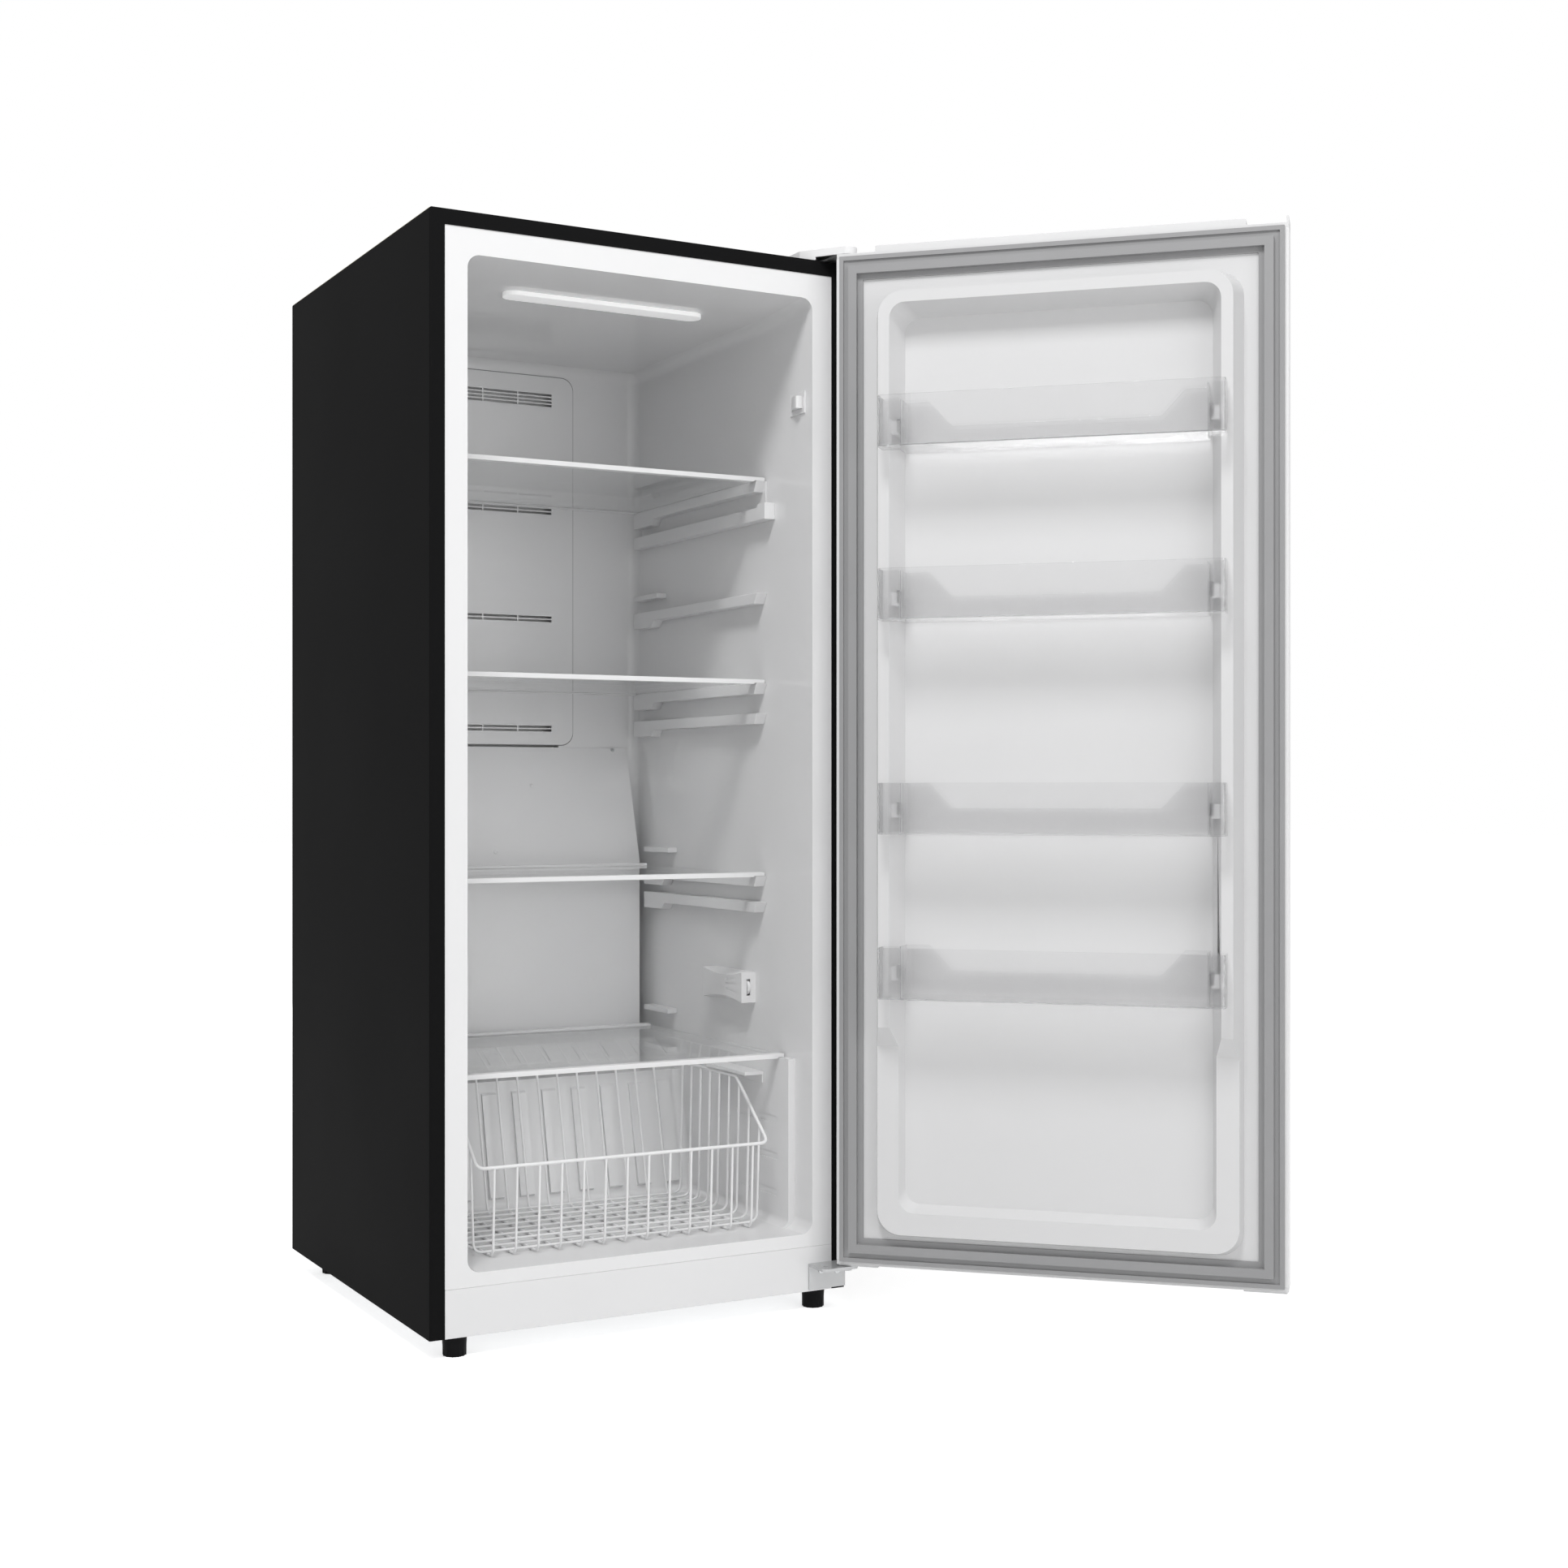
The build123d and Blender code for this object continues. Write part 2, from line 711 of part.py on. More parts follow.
# ---------------------------------------------------------------- air duct and evaporator
# Shallow cover screwed over the recess, with four groups of slots.
with BuildPart() as duct_cover:
    with BuildSketch(across(liner_back)):
        with Locations((duct_centre, (duct_bottom + duct_top) / 2)):
            RectangleRounded(2 * duct_half_width, duct_top - duct_bottom, duct_corner)
    extrude(amount=duct_proud)
    vent_bottom = duct_bottom + vent_margins[0]
    vent_pitch = (duct_top - vent_margins[1] - vent_bottom) / (len(vent_rows) - 1)
    for group, rows in enumerate(vent_rows):
        with BuildSketch(across(liner_back)):
            with Locations((duct_centre, vent_bottom + group * vent_pitch)):
                with GridLocations(vent_spacing[0], vent_spacing[1], vent_columns, rows):
                    Rectangle(*vent_slot)
        extrude(amount=duct_proud, mode=Mode.SUBTRACT)
duct_cover.part.label = "duct_cover"
export_step(duct_cover.part, "parts/duct_cover.step")

# Moulded cover over the evaporator, open to the liner behind, with the return grille.
with BuildPart() as evaporator_cover:
    cover_foot = slope_height + seat_gap
    section((-cover_half, cover_half), (
        (evaporator_front, cover_foot), (liner_back, cover_foot), (liner_back, evaporator_top),
        (liner_back - cover_wall, evaporator_top), (evaporator_front, evaporator_bend)))
    section((-cover_half + cover_wall, cover_half - cover_wall), (
        (evaporator_front + cover_wall, cover_foot), (liner_back, cover_foot),
        (liner_back, evaporator_top - 2 * cover_wall),
        (evaporator_front + cover_wall, evaporator_bend)), mode=Mode.SUBTRACT)
    with BuildSketch(across(evaporator_front + cover_wall)):
        with Locations((0, grille_bottom + grille_spacing[1] * (grille_rows - 1) / 2)):
            with GridLocations(*grille_spacing, grille_columns, grille_rows):
                Rectangle(*grille_slot)
    extrude(amount=cover_wall, mode=Mode.SUBTRACT)
evaporator_cover.part.label = "evaporator_cover"
export_step(evaporator_cover.part, "parts/evaporator_cover.step")

# Fin plates on the back wall, with a tube that runs through them row by row.
with BuildPart() as evaporator_coil:
    coil_depth = liner_back - fin_depth / 2
    coil_top = coil_bottom + (coil_rows - 1) * coil_pitch
    for number in range(coil_rows):
        row = coil_bottom + number * coil_pitch
        strut((-coil_half_width, coil_depth, row), (coil_half_width, coil_depth, row), coil_tube)
    for number in range(coil_rows - 1):
        end = coil_half_width if number % 2 else -coil_half_width
        row = coil_bottom + number * coil_pitch
        strut((end, coil_depth, row), (end, coil_depth, row + coil_pitch), coil_tube)
    fin_pitch = 2 * (coil_half_width - fin_margin) / (fin_count - 1)
    for number in range(fin_count):
        fin = fin_margin - coil_half_width + number * fin_pitch
        block((fin - fin_sheet / 2, fin + fin_sheet / 2), (liner_back - fin_depth, liner_back),
              (heater_height - fin_margin, coil_top + fin_margin))
    round_bars(Plane(along(-coil_half_width).origin, x_dir=(0, 1, 0), z_dir=(1, 0, 0)),
               [(coil_depth, heater_height)], heater_radius, 2 * coil_half_width,
               mode=Mode.SUBTRACT)
evaporator_coil.part.label = "evaporator_coil"
export_step(evaporator_coil.part, "parts/evaporator_coil.step")

# Defrost heater: a straight rod through the feet of the fin plates.
with BuildPart() as defrost_heater:
    round_bars(along(-coil_half_width), [(coil_depth, heater_height)], heater_radius,
               2 * coil_half_width)
defrost_heater.part.label = "defrost_heater"
export_step(defrost_heater.part, "parts/defrost_heater.step")

# Fan motor on a cross foot in the duct recess, its shaft pointing forward.
with BuildPart() as fan_motor:
    recess_back = liner_back + duct_recess
    round_bars(across(recess_back), [(fan_x, fan_height)], motor_radius, motor_length)
    block((fan_x - motor_foot[0], fan_x + motor_foot[0]),
          (recess_back - cover_wall, recess_back),
          (fan_height - motor_foot[1], fan_height + motor_foot[1]))
    round_bars(across(recess_back), [(fan_x, fan_height)], shaft_radius,
               recess_back - fan_depth + hub_length / 2)
fan_motor.part.label = "fan_motor"
export_step(fan_motor.part, "parts/fan_motor.step")

# Bladed fan on the motor's shaft.
with BuildPart() as fan_blade:
    round_bars(across(fan_depth + hub_length / 2), [(fan_x, fan_height)], hub_radius, hub_length)
    for number in range(fan_blades):
        turn = number * 360 / fan_blades
        root = across(fan_depth) * Location((fan_x, fan_height, 0), (0, 0, turn))
        with BuildSketch(root * Location((hub_radius - blade_sheet, 0, 0), (0, 90, 0))
                         * Location((0, 0, 0), (0, 0, blade_pitch))):
            Rectangle(blade_sheet, blade_chord)
        extrude(amount=fan_radius - hub_radius)
    round_bars(across(fan_depth + hub_length / 2), [(fan_x, fan_height)],
               shaft_radius + running_fit, hub_length, mode=Mode.SUBTRACT)
fan_blade.part.label = "fan_blade"
export_step(fan_blade.part, "parts/fan_blade.step")

# Defrost trough on the step, with the tube that leads the water out to the tray.
with BuildPart() as drain_tube:
    trough_half = trough_width / 2 - seat_gap
    block((-trough_half_width, trough_half_width),
          (drain_place[1] - trough_half, drain_place[1] + trough_half),
          (slope_height, slope_height + trough_height))
    block((-trough_half_width + drain_wall, trough_half_width - drain_wall),
          (drain_place[1] - trough_half + drain_wall, drain_place[1] + trough_half - drain_wall),
          (slope_height + drain_wall, slope_height + trough_height), mode=Mode.SUBTRACT)
    round_bars(level(drain_end), [drain_place], drain_radius,
               slope_height - drain_end)
    round_bars(level(drain_end), [drain_place],
               drain_radius - drain_wall, slope_height - drain_end + drain_wall,
               mode=Mode.SUBTRACT)
drain_tube.part.label = "drain_tube"
export_step(drain_tube.part, "parts/drain_tube.step")

# ---------------------------------------------------------------- fittings on the inside walls
# Long diffuser with rounded ends under the ceiling.
with BuildPart() as light_lens:
    with BuildSketch(level(ceiling - lens_drop)):
        with Locations((0, lens_depth)):
            SlotOverall(*lens_size)
    extrude(amount=lens_drop)
    with BuildSketch(level(ceiling - lens_drop + lens_wall)):
        with Locations((0, lens_depth)):
            SlotOverall(lens_size[0] - 2 * lens_wall, lens_size[1] - 2 * lens_wall)
    extrude(amount=lens_drop, mode=Mode.SUBTRACT)
light_lens.part.label = "light_lens"
export_step(light_lens.part, "parts/light_lens.step")

# Light board on the ceiling inside the lens.
with BuildPart() as light_board:
    block((-board_size[0] / 2, board_size[0] / 2),
          (lens_depth - board_size[1] / 2, lens_depth + board_size[1] / 2),
          (ceiling - board_thickness, ceiling))
light_board.part.label = "light_board"
export_step(light_board.part, "parts/light_board.step")

# Door switch box: a flange on the wall, a cup sunk behind it and a pin across its rear.
with BuildPart() as switch_housing:
    wall_x = opening_half
    pin_depth = switch_depths[1] - switch_border - lever_pin - running_fit - lever_wall - seat_gap
    block((wall_x - switch_proud, wall_x), switch_depths,
          (switch_height - switch_tall / 2, switch_height + switch_tall / 2))
    block(switch_x, switch_d, switch_h)
    block((wall_x - switch_proud, wall_x + switch_cup - switch_wall),
          (switch_d[0] + switch_wall, switch_d[1] - switch_wall),
          (switch_h[0] + switch_wall, switch_h[1] - switch_wall), mode=Mode.SUBTRACT)
    round_bars(level(switch_h[0]), [(wall_x, pin_depth)], lever_pin, switch_h[1] - switch_h[0])
switch_housing.part.label = "switch_housing"
export_step(switch_housing.part, "parts/switch_housing.step")

# Rocking lever on that pin; the closing door presses its nose in.
with BuildPart() as switch_lever:
    nose = wall_x - lever_reach
    lever_front = switch_d[0] + switch_wall + lever_front_gap
    eye = lever_pin + running_fit + lever_wall
    with BuildSketch(level(switch_height - lever_tall / 2)):
        with BuildLine():
            Polyline((wall_x - eye, pin_depth), (nose, lever_front + lever_reach),
                     (nose, lever_front + lever_wall), (nose + lever_wall, lever_front),
                     (wall_x + lever_wall, lever_front), (wall_x + lever_wall, pin_depth),
                     close=True)
        make_face()
        with Locations((wall_x, pin_depth)):
            Circle(eye)
            Circle(lever_pin + running_fit, mode=Mode.SUBTRACT)
    extrude(amount=lever_tall)
switch_lever.part.label = "switch_lever"
export_step(switch_lever.part, "parts/switch_lever.step")

# Air control box on the right wall, scooped above and below, with slots and a wheel opening.
with BuildPart() as control_housing:
    control_low = control_height - control_tall / 2
    control_high = control_height + control_tall / 2
    control_face = opening_half - control_reach
    wheel_x = opening_half - control_reach / 2
    wheel_depth = control_depths[0] + wheel_radius - wheel_proud
    block((control_face, opening_half), control_depths, (control_low, control_high))
    chamfer(edges_at(control_housing, x=control_face, height=control_low)
            + edges_at(control_housing, x=control_face, height=control_high),
            length=control_scoop)
    block((control_face + control_wall, opening_half),
          (control_depths[0] + control_wall, control_depths[1] - control_wall),
          (control_low + control_scoop, control_high - control_scoop), mode=Mode.SUBTRACT)
    block((wheel_x - wheel_thickness / 2 - wheel_gap, wheel_x + wheel_thickness / 2 + wheel_gap),
          (control_depths[0], control_depths[0] + control_wall),
          (control_height - wheel_radius, control_height + wheel_radius), mode=Mode.SUBTRACT)
    with BuildSketch(along(control_face)):
        with Locations((sum(control_depths) / 2 + wheel_radius, control_height)):
            with GridLocations(control_slot[0], control_slot_pitch, 1, control_slots):
                SlotOverall(*control_slot)
    extrude(amount=control_wall, mode=Mode.SUBTRACT)
    round_bars(along(control_face), [(wheel_depth, control_height)], wheel_pin, control_reach)
control_housing.part.label = "control_housing"
export_step(control_housing.part, "parts/control_housing.step")

# Thumb wheel on the control's pin.
with BuildPart() as control_wheel:
    round_bars(along(wheel_x - wheel_thickness / 2), [(wheel_depth, control_height)],
               wheel_radius, wheel_thickness)
    round_bars(along(wheel_x - wheel_thickness / 2), [(wheel_depth, control_height)],
               wheel_pin + running_fit, wheel_thickness, mode=Mode.SUBTRACT)
control_wheel.part.label = "control_wheel"
export_step(control_wheel.part, "parts/control_wheel.step")

# Ledges on both side walls: three carry shelves, three are free, and short ledges above them
# keep a shelf from tipping. The top pair is joined by a plate with a front block.


def rear_end(height):
    """depth of the rear end of a ledge at a height"""
    return ledge_ends[0] if height > low_level else ledge_ends[1]


with BuildPart() as shelf_supports:
    for span in mirrored((ledge_face, opening_half)):
        for top in shelf_levels + spare_levels:
            rear = rear_end(top)
            section(span, (
                (ledge_front, top), (rear, top), (rear, top - ledge_thickness - ledge_drop),
                (rear - ledge_drop_length, top - ledge_thickness - ledge_drop),
                (rear - ledge_drop_length - ledge_drop, top - ledge_thickness),
                (ledge_front + ledge_slant, top - ledge_thickness)))
        for top in stub_levels:
            block(span, (rear_end(top) - stub_length, rear_end(top)), (top - stub_thickness, top))
        block(span, (bracket_front, ledge_ends[0]),
              (bracket_bottom_level, bracket_bottom_level + bracket_arm))
    bracket_rear = ledge_ends[0] - bracket_top
    for span in mirrored((opening_half - bracket_plate, opening_half)):
        section(span, (
            (ledge_front, bracket_bottom_level), (ledge_ends[0], bracket_bottom_level),
            (ledge_ends[0], bracket_head), (bracket_rear, bracket_head),
            (bracket_rear - bracket_arm, shelf_levels[0]), (ledge_front, shelf_levels[0])))
    for span in mirrored((ledge_face, opening_half)):
        block(span, (bracket_front, bracket_front + bracket_block),
              (bracket_bottom_level, bracket_bottom_level + bracket_block))
shelf_supports.part.label = "shelf_supports"
export_step(shelf_supports.part, "parts/shelf_supports.step")

# Guides on the lower chamber's walls that keep the basket from tipping.
with BuildPart() as basket_runners:
    for span in mirrored((chamber_half - runner_reach, chamber_half)):
        block(span, runner_depths, (runner_bottom, runner_bottom + runner_thickness))
    for span in mirrored((chamber_half - runner_thickness / 2, chamber_half)):
        block(span, runner_depths, (runner_bottom - runner_rib, runner_bottom))
basket_runners.part.label = "basket_runners"
export_step(basket_runners.part, "parts/basket_runners.step")

# ---------------------------------------------------------------- shelves and basket


def shelf_parts(name, top, front, ledge_half):
    """a glass plate on its ledges and the two trims that grip its front and rear edges"""
    back = rear_end(top) - shelf_clear
    low = top + seat_gap
    high = low + glass
    with BuildPart() as plate:
        block((-glass_half, glass_half), (front + trim_depth - trim_bite, back - trim_depth + trim_bite),
              (low, high))
    plate.part.label = name + "_glass"
    export_step(plate.part, "parts/" + name + "_glass.step")
    with BuildPart() as trim:
        block((-glass_half, glass_half), (front, front + trim_depth), (low, high + trim_lip))
        block((-ledge_half, ledge_half), (front, front + trim_depth), (low - trim_lip, low))
        block((-ledge_half, ledge_half), (back - trim_depth, back),
              (low - trim_lip, low + rear_trim_top))
        add(plate.part, mode=Mode.SUBTRACT)
    trim.part.label = name + "_trim"
    export_step(trim.part, "parts/" + name + "_trim.step")


# Three toughened glass shelves with white trims.
for number, top in enumerate(shelf_levels, start=1):
    shelf_parts("shelf_" + str(number), top, shelf_front, ledge_face - shelf_gap)

# The bottom glass lies on the liner's step and covers the basket.
shelf_parts("cover", cover_ledge, cover_front, chamber_half - shelf_gap)

# Welded wire basket: a rim that drops at the front, U-shaped wires front to back and side to
# side, the rear ones leaning like the face behind them.
with BuildPart() as wire_basket:
    floor = opening_bottom + seat_gap + wire
    basket_half_width = chamber_half - basket_side
    basket_rear_foot = slope_foot - basket_foot_gap
    basket_rear = slope_head - basket_rear_gap
    front_rim = (basket_front, basket_front_rim)
    for side in (-basket_half_width, basket_half_width):
        bent_wire(along(side), (front_rim, (basket_rise_end, basket_rim),
                                (basket_rear, basket_rim)), rim_wire)
    strut((-basket_half_width, *front_rim), (basket_half_width, *front_rim), rim_wire)
    strut((-basket_half_width, basket_rear, basket_rim),
          (basket_half_width, basket_rear, basket_rim), rim_wire)
    for number in range(long_wires):
        x = (basket_half_width - long_wire_inset) * (2 * number / (long_wires - 1) - 1)
        bent_wire(along(x), (front_rim, (basket_front_foot, floor), (basket_rear_foot, floor),
                             (basket_rear, basket_rim)), wire)
    cross_floor = floor + 2 * wire - wire_weld
    first_cross = basket_front + cross_wire_inset[0]
    last_cross = basket_rear_foot - cross_wire_inset[1]
    for number in range(cross_wires):
        depth = first_cross + number * (last_cross - first_cross) / (cross_wires - 1)
        climb = min((depth - basket_front) / (basket_rise_end - basket_front), 1)
        rim = basket_front_rim + climb * (basket_rim - basket_front_rim)
        foot = basket_half_width - basket_toe_in
        bent_wire(across(depth), ((-basket_half_width, rim), (-foot, cross_floor),
                                  (foot, cross_floor), (basket_half_width, rim)), wire)
wire_basket.part.label = "wire_basket"
export_step(wire_basket.part, "parts/wire_basket.step")

# ---------------------------------------------------------------- machine compartment
# Base plate across the rear, with an upturned front edge.
with BuildPart() as compressor_plate:
    plate_back = cabinet_depth - rear_sheet
    plate_front = machine_foot + plate_gap
    block((-inside_half, inside_half), (plate_front, plate_back), (0, plate_thickness))
    block((-inside_half, inside_half), (plate_front, plate_front + plate_thickness),
          (plate_thickness, plate_flange))
    round_bars(level(0), [(side * (half_width - foot_inset), foot_rear) for side in (-1, 1)],
               stud_hole, plate_thickness, mode=Mode.SUBTRACT)
compressor_plate.part.label = "compressor_plate"
export_step(compressor_plate.part, "parts/compressor_plate.step")

grommet_centres = [(compressor_centre[0] + side * mount_pitch[0] / 2,
                    compressor_centre[1] + end * mount_pitch[1] / 2)
                   for side in (-1, 1) for end in (-1, 1)]

# Rubber feet between the plate and the compressor.
with BuildPart() as compressor_grommets:
    round_bars(level(plate_thickness), grommet_centres, grommet_radius, grommet_height)
compressor_grommets.part.label = "compressor_grommets"
export_step(compressor_grommets.part, "parts/compressor_grommets.step")

# Hermetic compressor: two welded half shells with a seam, on a four-cornered foot.
with BuildPart() as compressor:
    with BuildSketch(level(compressor_foot)):
        with Locations(compressor_centre):
            RectangleRounded(*compressor_size, compressor_corner)
    extrude(amount=compressor_tall)
    shell_height = (compressor_foot + compressor_head) / 2
    chamfer(compressor.faces().sort_by(Axis.Z)[-1].edges(), length=compressor_dome)
    chamfer(compressor.faces().sort_by(Axis.Z)[0].edges(), length=compressor_sole)
    with BuildSketch(level(shell_height)):
        with Locations(compressor_centre):
            RectangleRounded(compressor_size[0] + seam[0], compressor_size[1] + seam[0],
                             compressor_corner)
    extrude(amount=seam[1])
    with BuildSketch(level(compressor_foot)):
        with Locations(compressor_centre):
            RectangleRounded(mount_pitch[0] + mount_tab, mount_pitch[1] + mount_tab,
                             mount_tab / 2)
    extrude(amount=seam[1])
compressor.part.label = "compressor"
export_step(compressor.part, "parts/compressor.step")

# Starting relay and overload protector on the compressor's side.
with BuildPart() as relay_box:
    relay_x = compressor_centre[0] + compressor_size[0] / 2
    relay_low = shell_height - seam[1] - relay_size[2]
    block((relay_x, relay_x + relay_size[0]),
          (compressor_centre[1] - relay_size[1] / 2, compressor_centre[1] + relay_size[1] / 2),
          (relay_low, relay_low + relay_size[2]))
    fillet(relay_box.edges().filter_by(Axis.Z), radius=seam[1])
relay_box.part.label = "relay_box"
export_step(relay_box.part, "parts/relay_box.step")

# Defrost water tray over the warm compressor, under the drain tube.
with BuildPart() as drip_tray:
    tray_x = (compressor_centre[0] - tray_size[0] / 2, compressor_centre[0] + tray_size[0] / 2)
    tray_d = (compressor_centre[1] - tray_size[1] / 2, compressor_centre[1] + tray_size[1] / 2)
    tray_top = compressor_head + tray_tall
    block(tray_x, tray_d, (compressor_head, tray_top))
    fillet(drip_tray.edges().filter_by(Axis.Z), radius=tray_corner)
    offset(amount=-tray_wall, openings=drip_tray.faces().sort_by(Axis.Z)[-1])
drip_tray.part.label = "drip_tray"
export_step(drip_tray.part, "parts/drip_tray.step")

# Pipes from the compressor to the roof of the compartment, one with the filter drier in it.
with BuildPart() as refrigerant_tubes:
    pipe_start = compressor_centre[0] - compressor_size[0] / 2
    pipe_levels = (compressor_foot + compressor_sole + pipe_bend, shell_height - pipe_bend)
    for reach, height in zip((0, pipe_bend + pipe_radius), pipe_levels):
        with BuildLine(across(compressor_centre[1])) as pipe_path:
            FilletPolyline((pipe_start, height), (pipe_x - reach, height),
                           (pipe_x - reach, machine_roof), radius=pipe_bend)
        with BuildSketch(Plane(pipe_path.line @ 0, z_dir=pipe_path.line % 0)):
            RegularPolygon(pipe_radius, wire_facets)
        sweep()
    round_bars(level(shell_height + pipe_bend), [(pipe_x, compressor_centre[1])],
               drier_radius, drier_length)
refrigerant_tubes.part.label = "refrigerant_tubes"
export_step(refrigerant_tubes.part, "parts/refrigerant_tubes.step")

# Slotted cover over the compartment's rear.
with BuildPart() as machine_cover:
    block((-inside_half, inside_half), (plate_back, cabinet_depth), (0, machine_roof))
    with BuildSketch(across(cabinet_depth)):
        with Locations((0, machine_roof / 2)):
            with GridLocations(*louvre_spacing, louvre_columns, louvre_rows):
                Rectangle(*louvre_slot)
    extrude(amount=rear_sheet, mode=Mode.SUBTRACT)
    round_bars(across(cabinet_depth), [gland_place], gland_radius, rear_sheet,
               mode=Mode.SUBTRACT)
machine_cover.part.label = "machine_cover"
export_step(machine_cover.part, "parts/machine_cover.step")

# Bushing in the cover where the supply lead would enter.
with BuildPart() as cord_gland:
    round_bars(across(cabinet_depth), [gland_place], gland_radius, gland_length)
    round_bars(across(cabinet_depth), [gland_place], gland_hole, gland_length,
               mode=Mode.SUBTRACT)
cord_gland.part.label = "cord_gland"
export_step(cord_gland.part, "parts/cord_gland.step")

# ---------------------------------------------------------------- feet
# Ribbed foot, nearly round, that tapers to its sole, on a threaded stud.
for number, (side, depth) in enumerate(foot_places, start=1):
    foot_x = side * (half_width - foot_inset)
    with BuildPart() as foot:
        for radius, height in zip(foot_radii, (-foot_height, 0)):
            with BuildSketch(level(height)):
                with Locations((foot_x, depth)):
                    RegularPolygon(radius, foot_sides)
        loft()
        with BuildSketch(level(-foot_height)):
            with Locations((foot_x, depth)):
                with PolarLocations(foot_radii[0], foot_ribs):
                    Rectangle(foot_rib, foot_rib)
        extrude(amount=foot_height)
        round_bars(level(0), [(foot_x, depth)], stud_radius, stud_length)
    foot.part.label = "foot_" + str(number)
    export_step(foot.part, "parts/foot_" + str(number) + ".step")

# ---------------------------------------------------------------- hinges
# Bottom hinge: folded plate with a forward tab that carries the riveted pin.
with BuildPart() as bottom_hinge:
    bracket_left = half_width - bracket_width
    tab_low = tab_top - tab_thickness
    block((bracket_left, half_width), (-bracket_sheet, 0), (bracket_foot, tab_top))
    with BuildSketch(level(tab_low)):
        with Locations(((bracket_left + half_width) / 2, -tab_reach / 2)):
            Rectangle(bracket_width, tab_reach)
    extrude(amount=tab_thickness)
    fillet(edges_at(bottom_hinge, depth=-tab_reach, height=(tab_low + tab_top) / 2),
           radius=tab_radius)
    round_bars(level(tab_low), [(half_width - tab_hole_inset, -pin_forward)], tab_hole,
               tab_thickness, mode=Mode.SUBTRACT)
    round_bars(level(tab_low), [(pin_x, -pin_forward)], pin_radius,
               tab_thickness + seat_gap + end_plate_thickness + pin_engagement)
    round_bars(level(tab_low - pin_head[1]), [(pin_x, -pin_forward)], pin_head[0], pin_head[1])
    bracket_holes = [(bracket_left + x, height) for x, height in bracket_screws]
    round_bars(across(0), bracket_holes, screw_shank, bracket_sheet, mode=Mode.SUBTRACT)
bottom_hinge.part.label = "bottom_hinge"
export_step(bottom_hinge.part, "parts/bottom_hinge.step")

# Top hinge: joggled arm on the cabinet's top with a pin that points down into the door.
with BuildPart() as top_hinge:
    arm_top = arm_bottom + arm_thickness
    plate_top = cabinet_height + arm_thickness
    arm_left = half_width - hinge_cover_sides[1] + hinge_cover_play
    arm_right = half_width - hinge_cover_sides[0] - hinge_cover_play
    section((arm_left, half_width), (
        (arm_back, cabinet_height), (arm_joggle[1], cabinet_height), (arm_joggle[0], arm_bottom),
        (-arm_reach, arm_bottom), (-arm_reach, arm_top), (arm_joggle[0] - arm_bend, arm_top),
        (arm_joggle[1] - arm_bend, plate_top), (arm_back, plate_top)))
    with BuildSketch(level(cabinet_height)) as arm_outline:
        with BuildLine():
            Polyline((arm_left, arm_back), (arm_right, arm_back), (arm_right, arm_joggle[1]),
                     (pin_x + arm_width / 2, -pin_forward),
                     (pin_x - arm_width / 2, -pin_forward),
                     (pin_x - arm_width / 2, arm_joggle[0]), (arm_left, arm_back / 2),
                     close=True)
        make_face()
        with Locations((pin_x, -pin_forward)):
            Circle(arm_width / 2)
    extrude(amount=arm_lift + arm_thickness, mode=Mode.INTERSECT)
    round_bars(level(arm_top), [(pin_x, -pin_forward)], pin_radius,
               -(arm_top - door_top + pin_engagement))
    arm_x = (bracket_left + half_width) / 2
    round_bars(level(cabinet_height), [(arm_x, depth) for depth in arm_screws], screw_shank,
               arm_thickness, mode=Mode.SUBTRACT)
top_hinge.part.label = "top_hinge"
export_step(top_hinge.part, "parts/top_hinge.step")

# Moulded cover over the top hinge, hollow, with a shallower skirt where it hangs over the door.
with BuildPart() as top_hinge_cover:
    cover_top = cabinet_height + hinge_cover_tall
    for shrink, mode in ((0, Mode.ADD), (hinge_cover_wall, Mode.SUBTRACT)):
        with BuildSketch(level(cabinet_height)):
            with Locations((pin_x, -pin_forward)):
                Circle(hinge_cover_nose - shrink)
            with Locations((half_width - sum(hinge_cover_sides) / 2, sum(hinge_cover_depths) / 2)):
                Rectangle(hinge_cover_sides[1] - hinge_cover_sides[0] - 2 * shrink,
                          hinge_cover_depths[1] - hinge_cover_depths[0] - 2 * shrink)
            make_hull()
        extrude(amount=hinge_cover_tall - shrink, mode=mode)
    block((0, half_width + hinge_cover_nose), (-pin_forward - hinge_cover_nose, 0),
          (cabinet_height, arm_bottom - seat_gap), mode=Mode.SUBTRACT)
top_hinge_cover.part.label = "top_hinge_cover"
export_step(top_hinge_cover.part, "parts/top_hinge_cover.step")

# Hexagon screws of both hinges.
with BuildPart() as hinge_screws:
    arm_places = [(arm_x, depth) for depth in arm_screws]
    for plane, places, sheet_under in ((across(0), bracket_holes, bracket_sheet),
                                       (level(cabinet_height), arm_places, arm_thickness)):
        hex_bars(plane, places, screw_shank, sheet_under)
        hex_bars(plane.offset(sheet_under), places, screw_head, screw_head_tall)
hinge_screws.part.label = "hinge_screws"
export_step(hinge_screws.part, "parts/hinge_screws.step")

# ---------------------------------------------------------------- door


def door_plan(heights, inset, mode=Mode.ADD):
    """upright body with the door's outline seen from above, smaller by a wall"""
    with BuildSketch(level(heights[0])) as plan:
        with Locations((0, (door_front + door_back) / 2)):
            Rectangle(cabinet_width - 2 * inset, door_back - door_front - 2 * inset)
        fillet(plan.vertices().group_by(Axis.Y)[0], radius=door_corner - inset)
    extrude(plan.sketch, amount=heights[1] - heights[0], mode=mode)


